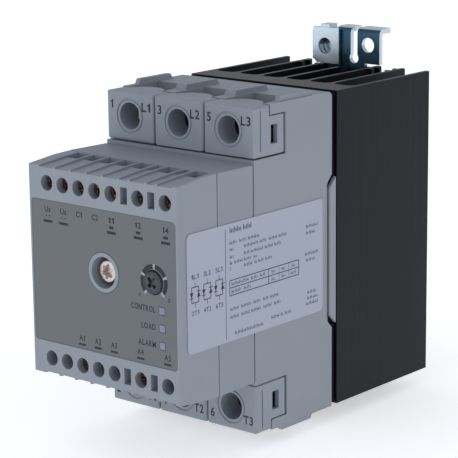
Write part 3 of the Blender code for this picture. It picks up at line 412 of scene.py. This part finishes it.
finished("front_cover", "_moulding", 0.2, FRONT_PLASTIC, 0.4, 3)
finished("control_housing", "_moulding", 0.2, MODULE_PLASTIC, 0.5, 3)
finished("main_housing", "_moulding", 0.25, HOUSING_PLASTIC)
for hand in ("left", "right"):
    finished("retention_clip_" + hand, "_moulding", 0.15, COVER_PLASTIC)
for spot in SPOTS:
    finished("terminal_cover_" + spot, "_moulding", 0.1, COVER_PLASTIC,
             0.75, 4, clamp=False)
    finished("terminal_frame_" + spot, "_pressing", 0.15, COPPER)
for row in ("upper", "lower"):
    finished(row + "_terminal_block", "_moulding", 0.15, BLOCK_PLASTIC)
finished("earth_clip_nut", "_pressing", 0.18, ZINC)
# The rail plate and latch start in the darker zinc, whose deep blue is a painted dark reflection.
plate = finished("rail_plate", "_pressing", 0.2, ZINC_WITH_PAINTED_DARK_REFLECTION)
latch = finished("rail_latch", "_pressing", 0.2, ZINC_WITH_PAINTED_DARK_REFLECTION)
sink = finished("heatsink", "_extrusion", 0.12, EXTRUDED_ALUMINIUM)
print("stand-ins made")

# %% [markdown]
# ## Sawn ends, and a painted dark reflection on the steel
# The heatsink's ends were sawn after the bar was pressed, and they take a second finish. On
# the steel plate and latch, the broad faces that look forwards and backwards keep the darker
# zinc, whose deep blue is a painted dark reflection. The cut edges and folds take the bright
# zinc. Both kinds of face are told apart by the direction they look in.

# %% Sawn ends, and painted dark reflection on the steel's broad faces
ALONG_Y, ALONG_Z = 1, 2


def facing_share(made, axis):
    """How far each face looks along an axis: 1 straight along it, 0 square to it."""
    normals = np.zeros(len(made.data.polygons) * 3)
    made.data.polygons.foreach_get("normal", normals)
    return np.abs(normals.reshape(-1, 3)[:, axis])


def second_finish(made, material, picked):
    """Give the picked faces a second material."""
    made.data.materials.append(material)
    made.data.polygons.foreach_set("material_index", picked.astype(np.int32))
    print(made.name, "second finish on", int(picked.sum()), "of", len(picked), "faces")


second_finish(sink, SAWN_ALUMINIUM, facing_share(sink, ALONG_Z) > 0.9)
# Faces that look along Y keep the darker zinc, a painted dark reflection; the rest get the bright
# zinc.
for steel in (plate, latch):
    second_finish(steel, ZINC, facing_share(steel, ALONG_Y) < 0.7)

# %% [markdown]
# ## Parts that stay as they are
# The films, the boards, the lamp windows and the parts deep inside are already right, or
# hardly show. Each keeps its frame mesh and only takes a finish in its material slot.

# %% Materials on kept frame nodes
KEPT = {
    "faceplate": OVERLAY_FILM, "rating_label": LABEL_FILM, "control_board": BOARD,
    "power_board": BOARD, "trimmer_body": KNOB_PLASTIC, "base_plate": EXTRUDED_ALUMINIUM,
    "latch_spring": SPRING,
}
KEPT.update({"thyristor_module_" + pole: EPOXY for pole in POLES})
KEPT.update({"light_pipe_" + number: LENS for number in ("1", "2", "3")})
KEPT.update({"pressure_pad_" + spot: COPPER for spot in SPOTS})
for name, material in KEPT.items():
    slots = frame["nodes"][name].data.materials
    if not slots:
        slots.append(material)
    frame["nodes"][name].material_slots[0].material = material
print("finishes on", len(KEPT), "kept nodes")

# %% [markdown]
# ## Screws
# Each screw is turned and thread-rolled, with a drive recess pressed into the head. Stacked
# rings make all of it: every ring has the same number of points, and its radius may change
# with the angle, so one function draws a cross, a star, a round head and a helical thread.

# %% Rings stacked along the depth


def stacked(name, centre, depths, radii):
    """Point (k, j) lies at angle 2 pi j / n, radius radii[k, j] and depth depths[k] behind
    the centre. Neighbouring rings are joined by quads and both ends get a cap."""
    count, sides = radii.shape
    angle = np.linspace(0.0, 2 * np.pi, sides, endpoint=False)
    across = centre[0] + radii * np.cos(angle)
    deep = centre[1] + np.repeat(np.asarray(depths)[:, None], sides, axis=1)
    along = centre[2] + radii * np.sin(angle)
    index = np.arange(count * sides).reshape(count, sides)
    after = np.roll(index, -1, axis=1)
    quads = np.stack((index[:-1], index[1:], after[1:], after[:-1]), axis=-1).reshape(-1, 4)
    mesh = bpy.data.meshes.new(name)
    mesh.from_pydata(np.stack((across, deep, along), axis=-1).reshape(-1, 3), [],
                     quads.tolist() + [index[0].tolist(), index[-1][::-1].tolist()])
    work = bmesh.new()
    work.from_mesh(mesh)
    bmesh.ops.recalc_face_normals(work, faces=work.faces)
    work.to_mesh(mesh)
    work.free()
    mesh.shade_smooth()
    mesh.set_sharp_from_angle(angle=math.radians(35))
    return linked(name, mesh)


SCREW_SIDES = 72
TURN = np.linspace(0.0, 2 * np.pi, SCREW_SIDES, endpoint=False)


def cross_outline(half_long, half_wide, turn):
    """Radius of a plus sign: the larger of two bars, each min(long / |cos|, wide / |sin|)."""
    across, along = np.abs(np.cos(TURN - turn)) + 1e-9, np.abs(np.sin(TURN - turn)) + 1e-9
    flat = np.minimum(half_long / across, half_wide / along)
    tall = np.minimum(half_long / along, half_wide / across)
    return np.maximum(flat, tall)


def star_outline(radius, turn):
    """Radius of a six-lobed recess: radius * (1 + 0.17 cos 6a)."""
    return radius * (1 + 0.17 * np.cos(6 * (TURN - turn)))


# %% [markdown]
# The thread is a triangle wave wound round the shank. Its crest moves on by one pitch for
# each turn, so the radius at a point only needs its depth and its angle.

# %% A whole screw
RECESS_FLOOR = 0.72         # the recess narrows to this share at its floor
MOUTH_DEEP = 0.12           # depth of the rounding round its mouth
CHAMFER = 0.1
RINGS_IN_PITCH = 5
THREAD_DEEP = 0.6           # share of the pitch
TIP = 0.55                  # share of the shank's radius


def screw(node_name, head, shank_mm, thread_mm, pitch_mm, recess, material, proud_mm=0.0):
    """A turned screw in place of a node, all in millimetres from the front of the head. head
    is (radius, thickness, edge radius), thread_mm is (start, end), and recess is (outline,
    depth). The head may stand a little proud of the node's front."""
    low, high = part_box(node_name)
    centre = ((low.x + high.x) / 2, low.y - proud_mm * MM, (low.z + high.z) / 2)
    long_mm = (high.y - low.y) / MM + proud_mm
    radius, thick, edge = head
    around = np.ones(SCREW_SIDES)
    bend = np.linspace(0.0, np.pi / 2, 5)
    outline, deep = recess
    rings = [(deep, outline * RECESS_FLOOR), (MOUTH_DEEP, outline * 0.97), (0.0, outline * 1.03)]
    rings += [(edge * (1 - math.cos(t)), (radius - edge * (1 - math.sin(t))) * around)
              for t in bend]
    rings += [(thick - CHAMFER, radius * around), (thick, (radius - CHAMFER) * around),
              (thick, shank_mm * around), (thread_mm[0], shank_mm * around)]
    steps = np.arange(thread_mm[0], thread_mm[1] - pitch_mm / 2, pitch_mm / RINGS_IN_PITCH)
    for depth in steps:
        phase = (depth / pitch_mm - TURN / (2 * np.pi)) % 1.0
        fade = min(1.0, (depth - thread_mm[0]) / pitch_mm)
        groove = THREAD_DEEP * pitch_mm * fade * np.abs(2 * phase - 1)
        rings.append((depth + 0.001, shank_mm - groove))
    rings += [(thread_mm[1], shank_mm * 0.8 * around), (long_mm, shank_mm * TIP * around)]
    made = stacked(node_name + "_turned", centre, np.array([r[0] for r in rings]) * MM,
                   np.array([r[1] for r in rings]) * MM)
    return stand_in(made, node_name, material)


# %% All the screws
for number, name in enumerate(sorted(n for n in frame["nodes"] if "control_screw" in n)):
    cross = cross_outline(1.35, 0.27, math.radians(30 + 47 * number))
    screw(name, head=(1.9, 2.0, 0.35), shank_mm=1.4, thread_mm=(2.2, 8.0), pitch_mm=0.45,
          recess=(cross, 0.8), material=BRASS)
for number, spot in enumerate(SPOTS):
    cross = cross_outline(2.2, 0.5, math.radians(45 + 31 * number))
    screw("terminal_screw_" + spot, head=(3.35, 2.0, 0.5), shank_mm=2.0, thread_mm=(2.4, 8.0),
          pitch_mm=0.7, recess=(cross, 1.3), material=NICKEL)
star = star_outline(1.8, math.radians(20))
screw("fixing_screw", head=(3.1, 3.5, 0.4), shank_mm=1.6, thread_mm=(28.0, 40.6), pitch_mm=0.6,
      recess=(star, 1.6), material=NICKEL, proud_mm=1.0)
print("screws made")

# %% [markdown]
# ## The dial's knob
# The knob is moulded in one piece: a cross slot in the middle, a shallow ring round it, a
# small pointer on the rim, a skirt that goes into the module and a thinner shaft below.
# The same stacked rings make it. The pointer is a narrow bell curve added to the radius.

# %% Dial knob
KNOB_R = 3.1
SHAFT_R = 2.0
SKIRT_END, SHAFT_END = 5.35, 8.55
POINTER = math.radians(-45)
POINTER_REACH, POINTER_WIDTH = 0.22, 0.16
knob_low, knob_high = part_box("trimmer_knob")
knob_centre = ((knob_low.x + knob_high.x) / 2, knob_low.y, (knob_low.z + knob_high.z) / 2)
nose = POINTER_REACH * np.exp(-((TURN - 2 * np.pi - POINTER) / POINTER_WIDTH) ** 2)
rim = KNOB_R + nose
shaft = np.full(SCREW_SIDES, SHAFT_R)
slot = cross_outline(1.75, 0.55, math.radians(45))
knob_rings = [(0.75, slot * 0.96), (0.0, slot), (0.0, rim - 0.75), (0.12, rim - 0.6),
              (0.12, rim - 0.35), (0.02, rim - 0.25), (0.1, rim - 0.08), (0.25, rim),
              (SKIRT_END, rim), (SKIRT_END, shaft), (SHAFT_END, shaft)]
knob = stacked("trimmer_knob_moulded", knob_centre, np.array([r[0] for r in knob_rings]) * MM,
               np.array([r[1] for r in knob_rings]) * MM)
stand_in(knob, "trimmer_knob", KNOB_PLASTIC)
print("knob radius", KNOB_R, "mm")

# %% [markdown]
# ## Printed marks
# The printing is ink a few hundredths of a millimetre thick. Letters are text objects turned
# into meshes, bars are thin boxes and the dial's scale is a band bent round an arc. All
# marks of one print are gathered in one thin piece. Only plain terminal numbers, function
# words, rules and bars are printed: there are no names, no marks of origin and no ratings.

# %% Placing marks on the front and on the right side
INK = 0.02                      # thickness of the ink
LIFT = 0.4 * INK * MM           # its middle stands this far off the film or moulding
COVER_SKIN = COVER_Y - LIFT
FACE_SKIN = FACE_Y - LIFT
LABEL_SKIN = LABEL_X + LIFT


def on_front(x_mm, z_mm, y_surface):
    """Matrix that lays a flat mark on a surface that faces forwards."""
    return Matrix(((MM, 0, 0, x_mm * MM), (0, 0, -MM, y_surface), (0, MM, 0, z_mm * MM),
                   (0, 0, 0, 1)))


def on_label(depth_mm, z_mm):
    """Matrix that lays a flat mark on the rating label, read from the right. The depth
    counts back from the front face."""
    return Matrix(((0, 0, MM, LABEL_SKIN), (MM, 0, 0, FRONT_Y + depth_mm * MM),
                   (0, MM, 0, z_mm * MM), (0, 0, 0, 1)))


# %% Flat marks


def prism(outline):
    """A flat outline, points counted anticlockwise, given the thickness of the ink."""
    flat = np.array(outline, dtype=float)
    sides = len(flat)
    points = np.vstack([np.column_stack((flat, np.full(sides, level)))
                        for level in (-INK / 2, INK / 2)])
    index = np.arange(sides)
    after = np.roll(index, -1)
    walls = np.stack((index, after, after + sides, index + sides), axis=-1)
    mesh = bpy.data.meshes.new("prism")
    mesh.from_pydata(points, [], walls.tolist() + [index[::-1].tolist(), (index + sides).tolist()])
    return mesh


def bar(wide, tall):
    """A thin box centred on the origin."""
    x, y = wide / 2, tall / 2
    return prism([(-x, -y), (x, -y), (x, y), (-x, y)])


# %% [markdown]
# Letters come from Blender's own font, whose capitals are about 0.7 of the size high. Its 1
# is a bare stroke, so a 1 with a flag is drawn as an outline instead.

# %% Letters
FLAGGED_ONE = ((0.22, 0.0), (0.36, 0.0), (0.36, 1.0), (0.27, 1.0), (0.2, 0.88), (0.0, 0.79),
               (0.0, 0.68), (0.22, 0.75))
LETTER_GAP = 0.14               # share of a capital's height
CAPITAL = 0.72                  # capitals of the font, grown a little by bold


def letter(char, bold):
    """One letter with its baseline at zero and capitals about 1 high, grown by bold."""
    if char == "1":
        still = (0.0, 0.0)
        grow = np.array([(-bold, 0.0), (bold, 0.0), (bold, 0.0), still, still, still,
                         (0.0, -bold), (-bold, -bold)])
        return prism(np.array(FLAGGED_ONE) + grow)
    curve = bpy.data.curves.new("letter", "FONT")
    curve.body = char
    curve.offset = bold * CAPITAL / 2
    curve.extrude = INK * CAPITAL / 2
    curve.resolution_u = 3
    holder = bpy.data.objects.new("letter", curve)
    mesh = bpy.data.meshes.new_from_object(holder)
    mesh.transform(Matrix.Scale(1 / CAPITAL, 4))
    bpy.data.objects.remove(holder)
    bpy.data.curves.remove(curve)
    return mesh


def letters(text, tall, wide, bold):
    """Letters side by side, centred on the origin, tall and wide in millimetres."""
    work = bmesh.new()
    edge = 0.0
    for char in text:
        mesh = letter(char, bold)
        across = np.array([v.co.x for v in mesh.vertices])
        mesh.transform(Matrix.Translation((edge - across.min(), 0.0, 0.0)))
        edge += across.max() - across.min() + LETTER_GAP
        work.from_mesh(mesh)
        bpy.data.meshes.remove(mesh)
    mesh = bpy.data.meshes.new("letters")
    work.to_mesh(mesh)
    work.free()
    edge -= LETTER_GAP
    mesh.transform(Matrix.Translation((-edge / 2, -0.5, 0.0)))
    mesh.transform(Matrix.Diagonal((wide / edge, tall, 1.0, 1.0)))
    return mesh


# %% Bands and gathered prints


def arc_band(inner, outer, start, stop):
    """A four-cornered band carried round an arc; angles are degrees clockwise from the top."""
    turn = np.radians(np.linspace(start, stop, max(3, int(abs(stop - start) / 5))))
    corner = np.array([(inner, -1), (outer, -1), (outer, 1), (inner, 1)])
    points = np.stack((corner[:, 0] * np.sin(turn)[:, None], corner[:, 0] * np.cos(turn)[:, None],
                       np.ones((len(turn), 1)) * corner[:, 1] * INK / 2), axis=-1)
    index = np.arange(points.size // 3).reshape(len(turn), 4)
    after = np.roll(index, -1, axis=1)
    quads = np.stack((index[:-1], after[:-1], after[1:], index[1:]), axis=-1).reshape(-1, 4)
    mesh = bpy.data.meshes.new("band")
    ends = [index[0][::-1].tolist(), index[-1].tolist()]
    mesh.from_pydata(points.reshape(-1, 3), [], quads.tolist() + ends)
    return mesh


def printed(name, marks, body, material):
    """Gather marks, each a mesh and its place, in one piece."""
    work = bmesh.new()
    for mesh, place in marks:
        mesh.transform(place)
        work.from_mesh(mesh)
        bpy.data.meshes.remove(mesh)
    bmesh.ops.remove_doubles(work, verts=work.verts, dist=0.0001 * MM)
    bmesh.ops.recalc_face_normals(work, faces=work.faces)
    mesh = bpy.data.meshes.new(name)
    work.to_mesh(mesh)
    work.free()
    mesh.materials.append(material)
    made = linked(name, mesh)
    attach(made, body)
    return made


# %% [markdown]
# Each terminal cover carries its number on the left of the bore and its line or load name
# on the right, in the plain numbering every contactor uses.

# %% Terminal numbers
COVER_TYPE, COVER_BOLD = 2.5, 0.06
COVER_TYPE_Z = 41.9
NUMBER_AT, NAME_AT = -6.8, 6.1          # from the middle of the cover
cover_marks = []
for row, sign in ROWS:
    for order, pole in enumerate(POLES):
        number = 2 * order + (1 if row == "l" else 2)
        centre = middle("terminal_cover_" + row + pole).x / MM
        high = COVER_TYPE_Z * sign
        digit = letters(str(number), COVER_TYPE, 1.4 if number > 1 else 0.9, COVER_BOLD)
        name = letters(row.upper() + pole, COVER_TYPE, 3.35, COVER_BOLD)
        cover_marks += [(digit, on_front(centre + NUMBER_AT, high, COVER_SKIN)),
                        (name, on_front(centre + NAME_AT, high, COVER_SKIN))]
printed("terminal_numbers", cover_marks, "relay", DARK_INK)
print("terminal numbers:", len(cover_marks))

# %% [markdown]
# The overlay names the control terminals and the three lamps. Finer lines are plain bars.

# %% Captions on the overlay
HOLE_XS = [middle("upper_control_screw_%d" % n).x / MM for n in range(1, 8)]
LAMP_ZS = [middle("light_pipe_%d" % n).z / MM for n in range(1, 4)]
TYPE, TYPE_WIDE, TYPE_BOLD = 1.6, 2.2, 0.05
UPPER_Z, UPPER_BAR_Z, LOWEST_BAR_Z = 17.5, 15.5, 14.1
LOWER_Z, LOWER_BAR_Z = -16.8, -18.7
LAMP_NAMES_END = 18.65
overlay = []


def on_overlay(mesh, x, z):
    """Add one mark to the overlay's print."""
    overlay.append((mesh, on_front(x, z, FACE_SKIN)))


for name, x in zip(("Us", "Us", "C1", "C2", "11", "12", "14"), HOLE_XS):
    on_overlay(letters(name, TYPE, TYPE_WIDE, TYPE_BOLD), x, UPPER_Z)
for x in HOLE_XS[:2]:
    on_overlay(bar(0.5, 0.3), x - 0.6, UPPER_BAR_Z + 0.1)
    on_overlay(bar(0.8, 0.25), x + 0.7, UPPER_BAR_Z + 0.1)
    on_overlay(bar(3.4, 0.7), x, LOWEST_BAR_Z)
for x in HOLE_XS[4:]:
    on_overlay(bar(1.6, 0.75), x, UPPER_BAR_Z)
    on_overlay(bar(3.2, 0.75), x, LOWEST_BAR_Z)
for name, x in zip(("A1", "A2", "A3", "A4", "A5"), HOLE_XS[2:]):
    on_overlay(letters(name, TYPE, TYPE_WIDE, TYPE_BOLD), x, LOWER_Z)
    on_overlay(bar(2.6, 0.6), x, LOWER_BAR_Z)
for name, wide, z in zip(("CONTROL", "LOAD", "ALARM"), (8.6, 5.0, 6.2), LAMP_ZS):
    on_overlay(letters(name, TYPE, wide, TYPE_BOLD), LAMP_NAMES_END - wide / 2, z)
print("captions:", len(overlay))

# %% [markdown]
# The dial's scale is a dark band in four stretches with a pale tick between them and at
# both ends. The ticks are a print of their own, because their ink is white.

# %% Dial scale
DIAL = (18.45, 3.03)
TICKS = (-135.0, -67.5, 0.0, 67.5, 135.0)
HALF_TICK = 5.5                         # half the gap in the band, in degrees
for digit, wide, side in (("1", 0.5, -1), ("5", 0.8, 1)):
    on_overlay(letters(digit, 1.1, wide, TYPE_BOLD), DIAL[0] + 5.2 * side, DIAL[1] - 4.1)
for start, stop in zip(TICKS[:-1], TICKS[1:]):
    on_overlay(arc_band(3.55, 4.8, start + HALF_TICK, stop - HALF_TICK), *DIAL)
printed("overlay_print", overlay, "relay", DARK_INK)
ticks = [(arc_band(3.4, 4.9, a - HALF_TICK + 1, a + HALF_TICK - 1), on_front(*DIAL, FACE_SKIN))
         for a in TICKS]
printed("dial_ticks", ticks, "relay", PALE_INK)
print("overlay marks:", len(overlay) + len(ticks))

# %% [markdown]
# The rating label shows three pairs of back-to-back thyristors on the left and a plain
# table with rows of text on the right. The rows are groups of small strokes as long as a
# word, so that the label has the right greyness and says nothing.

# %% Strokes and words on the label
PEN = 0.27


def drawn(depth_low, depth_high, z_low, z_high):
    """A bar between two depths and two heights on the label."""
    return (bar(depth_high - depth_low, z_high - z_low),
            on_label((depth_low + depth_high) / 2, (z_low + z_high) / 2))


STROKE = 0.2
STROKE_PITCH = 0.62
STROKE_TALL = (1.0, 0.72, 0.72, 1.0, 0.72)
WORD_GAP = 0.6


def words(depth, z, lengths, tall=1.0):
    """One row that looks like small type from afar: upright strokes on a baseline, with a
    short bar joining every second pair, and a gap after each word."""
    made = []
    low = z - tall / 2
    for length in lengths:
        for k in range(max(1, round(length / STROKE_PITCH))):
            left = depth + k * STROKE_PITCH
            high = low + tall * STROKE_TALL[k % len(STROKE_TALL)]
            made.append(drawn(left, left + STROKE * tall, low, high))
            if k % 2:
                bar_z = low + tall * (0.36 if k % 3 else 0.66)
                made.append(drawn(left - STROKE_PITCH, left, bar_z - 0.09, bar_z + 0.09))
        depth += length + WORD_GAP
    return made


def triangle(size, up):
    """A filled arrowhead that points up (1) or down (-1)."""
    half = size / 2
    return prism([(-half * up, -half * up), (half * up, -half * up), (0.0, half * up)])


# %% Thyristor pairs
PAIR_DEPTHS = (6.4, 11.25, 16.1)
BRANCH = 1.4                            # from the middle of a pair to each branch
LOOP_LOW, LOOP_HIGH = -2.4, 1.8
LEAD_LOW, LEAD_HIGH = -3.7, 3.1
ARROW, ARROW_Z = 1.5, -0.3
label_marks = [drawn(18.7, 18.9, -15.4, 15.0)]
for order, depth in enumerate(PAIR_DEPTHS):
    for side in (-1, 1):
        branch = depth + side * BRANCH
        bar_z = ARROW_Z + side * 0.85
        label_marks += [drawn(branch - PEN / 2, branch + PEN / 2, LOOP_LOW, LOOP_HIGH),
                        (triangle(ARROW, side), on_label(branch, ARROW_Z)),
                        drawn(branch - ARROW / 2, branch + ARROW / 2, bar_z - 0.12, bar_z + 0.12)]
    for z in (LOOP_LOW, LOOP_HIGH):
        label_marks.append(drawn(depth - BRANCH, depth + BRANCH, z - PEN / 2, z + PEN / 2))
    for low, high in ((LOOP_HIGH, LEAD_HIGH), (LEAD_LOW, LOOP_LOW)):
        label_marks.append(drawn(depth - 0.1, depth + 0.1, low, high))
    for name, z in (("%dL%d", 4.6), ("%dT%d", -5.2)):
        text = name % (2 * order + (1 if z > 0 else 2), order + 1)
        label_marks.append((letters(text, 1.3, 2.9, 0.03), on_label(depth, z)))
print("marks on the left of the label:", len(label_marks))

# %% [markdown]
# Each row of the label is a depth from the front face, a height and the lengths of its
# words. The table is three rules across and five down.

# %% Rows of text and the table
label_marks += words(20.6, 14.3, (5.0, 4.0), 1.5)
ROWS_OF_TEXT = ((20.6, 10.9, (3.4, 3.0, 5.0)), (20.6, 9.1, (1.8,)),
                (26.5, 9.1, (6.0, 3.4, 3.6, 3.6)), (20.6, 7.1, (1.8,)),
                (26.5, 7.1, (2.2, 5.4, 3.6, 3.4)), (20.6, 5.4, (1.2, 3.6)),
                (26.5, 5.4, (3.4, 1.6)), (20.6, 3.8, (0.9,)), (26.5, 3.8, (3.8, 1.0, 2.4, 3.0)),
                (21.2, -0.4, (7.6, 3.2, 2.2)), (21.2, -2.5, (4.6, 3.4)),
                (38.2, -0.4, (1.8,)), (42.6, -0.4, (1.8,)), (47.0, -0.4, (1.8,)),
                (38.2, -2.5, (1.8,)), (42.6, -2.5, (1.8,)), (46.6, -2.5, (2.6,)),
                (20.6, -7.3, (4.0, 4.6, 3.4, 2.6, 4.0)), (20.6, -9.5, (4.0, 3.6, 4.6, 4.0, 2.8)),
                (22.4, -14.2, (12.5,)), (38.0, -13.3, (3.6, 1.2, 3.4)),
                (53.5, 9.4, (5.4,)), (53.5, 7.6, (4.4,)), (53.0, 1.6, (6.0,)), (53.5, -0.2, (4.6,)),
                (54.0, -9.6, (4.6,)), (54.0, -11.2, (5.0,)), (53.5, -12.8, (5.6,)))
for depth, z, lengths in ROWS_OF_TEXT:
    label_marks += words(depth, z, lengths)
TABLE_LEFT, TABLE_RIGHT = 20.4, 50.1
TABLE_LOW, TABLE_HIGH = -3.55, 0.6
for z in (TABLE_HIGH, -1.45, TABLE_LOW):
    label_marks.append(drawn(TABLE_LEFT, TABLE_RIGHT, z - PEN / 2, z + PEN / 2))
FINE_PEN = 0.14
UPRIGHTS = ((TABLE_LEFT, PEN), (36.9, PEN), (TABLE_RIGHT, PEN), (41.4, FINE_PEN), (45.7, FINE_PEN))
for depth, pen in UPRIGHTS:
    label_marks.append(drawn(depth - pen / 2, depth + pen / 2, TABLE_LOW, TABLE_HIGH))
printed("label_print", label_marks, "relay", LABEL_INK)
print("label marks:", len(label_marks))

# %% [markdown]
# ## Camera
# The device is seen from its front right, a little from above, with a long lens. The camera
# rolls by over half a degree, so its axes are worked out one by one.

# %% Camera
EYE = Vector((0.3624, -0.4888, 0.1349))
AZIMUTH = math.radians(40.24)
ELEVATION = math.radians(13.03)
ROLL = math.radians(-0.623)
LENS_MM = 158.2

back = Vector((math.sin(AZIMUTH) * math.cos(ELEVATION), -math.cos(AZIMUTH) * math.cos(ELEVATION),
               math.sin(ELEVATION)))
right = (-back).cross(Vector((0.0, 0.0, 1.0))).normalized()
up = right.cross(-back)
turned_right = right * math.cos(ROLL) + up * math.sin(ROLL)
turned_up = up * math.cos(ROLL) - right * math.sin(ROLL)
lens = bpy.data.cameras.new("view")
lens.lens = LENS_MM
lens.sensor_width = 36.0
lens.clip_start = 0.01
camera = linked("view", lens)
facing = Matrix((turned_right, turned_up, back)).transposed()
camera.matrix_world = Matrix.Translation(EYE) @ facing.to_4x4()
bpy.context.scene.camera = camera
print("camera at", [round(v, 3) for v in EYE])

# %% [markdown]
# ## Floor and light
# A pale floor lies under the lowest point. One broad soft box stands in front, a weaker one
# on the right, and the room around gives an even, slightly cool fill.

# %% Floor
FLOOR_HALF = 3.0
FLOOR_GAP = 0.2 * MM
floor_mesh = bpy.data.meshes.new("floor")
corners = np.array([(-1, -1), (1, -1), (1, 1), (-1, 1)]) * FLOOR_HALF
floor_points = np.column_stack((corners, np.full(4, cad_low.z - FLOOR_GAP)))
floor_mesh.from_pydata(floor_points.tolist(), [], [(0, 1, 2, 3)])
floor = linked("floor", floor_mesh)
paper, paper_tree, paper_shader, coords = blank("seamless_paper")
fibre = node(paper_tree, "TexNoise", {"Vector": coords, "Scale": per_metre(2.0), "Detail": 3.0})
paper_tree.links.new(blend(paper_tree, fibre.outputs["Fac"], "#fbfbfb", "#ffffff"),
                     paper_shader.inputs["Base Color"])
paper_shader.inputs["Roughness"].default_value = 0.9
paper_shader.inputs["Emission Color"].default_value = (1.0, 1.0, 1.0, 1.0)
paper_shader.inputs["Emission Strength"].default_value = 0.47
floor_mesh.materials.append(paper)
print("floor at z =", round((cad_low.z - FLOOR_GAP) / MM, 2), "mm")

# %% Lights


def soft_box(name, place, aim, size, watts, tint):
    """A square area light that looks at a point."""
    lamp = bpy.data.lights.new(name, "AREA")
    lamp.shape = "SQUARE"
    lamp.size = size
    lamp.energy = watts
    lamp.color = linear(tint)[:3]
    made = linked(name, lamp)
    made.location = place
    made.rotation_euler = (Vector(aim) - Vector(place)).to_track_quat("-Z", "Y").to_euler()


COOL_WHITE = "#f2f6ff"
heart = (cad_low + cad_high) / 2
soft_box("front_soft_box", heart + Vector((-0.35, -1.1, 0.3)), heart, 0.9, 1.8, COOL_WHITE)
soft_box("right_soft_box", heart + Vector((1.2, -0.2, 0.45)), heart, 0.9, 0.6, COOL_WHITE)

# %% [markdown]
# The room lights the device with a cool grey, while the camera itself sees plain white.

# %% Room
room = bpy.data.worlds.new("room")
room.use_nodes = True
sky = room.node_tree.nodes["Background"]
sky.inputs["Color"].default_value = linear("#f4f8ff")
sky.inputs["Strength"].default_value = 0.62
seen = node(room.node_tree, "Background", {"Color": (1.0, 1.0, 1.0, 1.0), "Strength": 1.0})
path = node(room.node_tree, "LightPath")
both = node(room.node_tree, "MixShader", {0: path.outputs["Is Camera Ray"],
                                          1: sky.outputs[0], 2: seen.outputs[0]})
room.node_tree.links.new(both.outputs[0], room.node_tree.nodes["World Output"].inputs[0])
bpy.context.scene.world = room
bpy.context.scene.view_settings.view_transform = "Standard"
print("lights and room made")
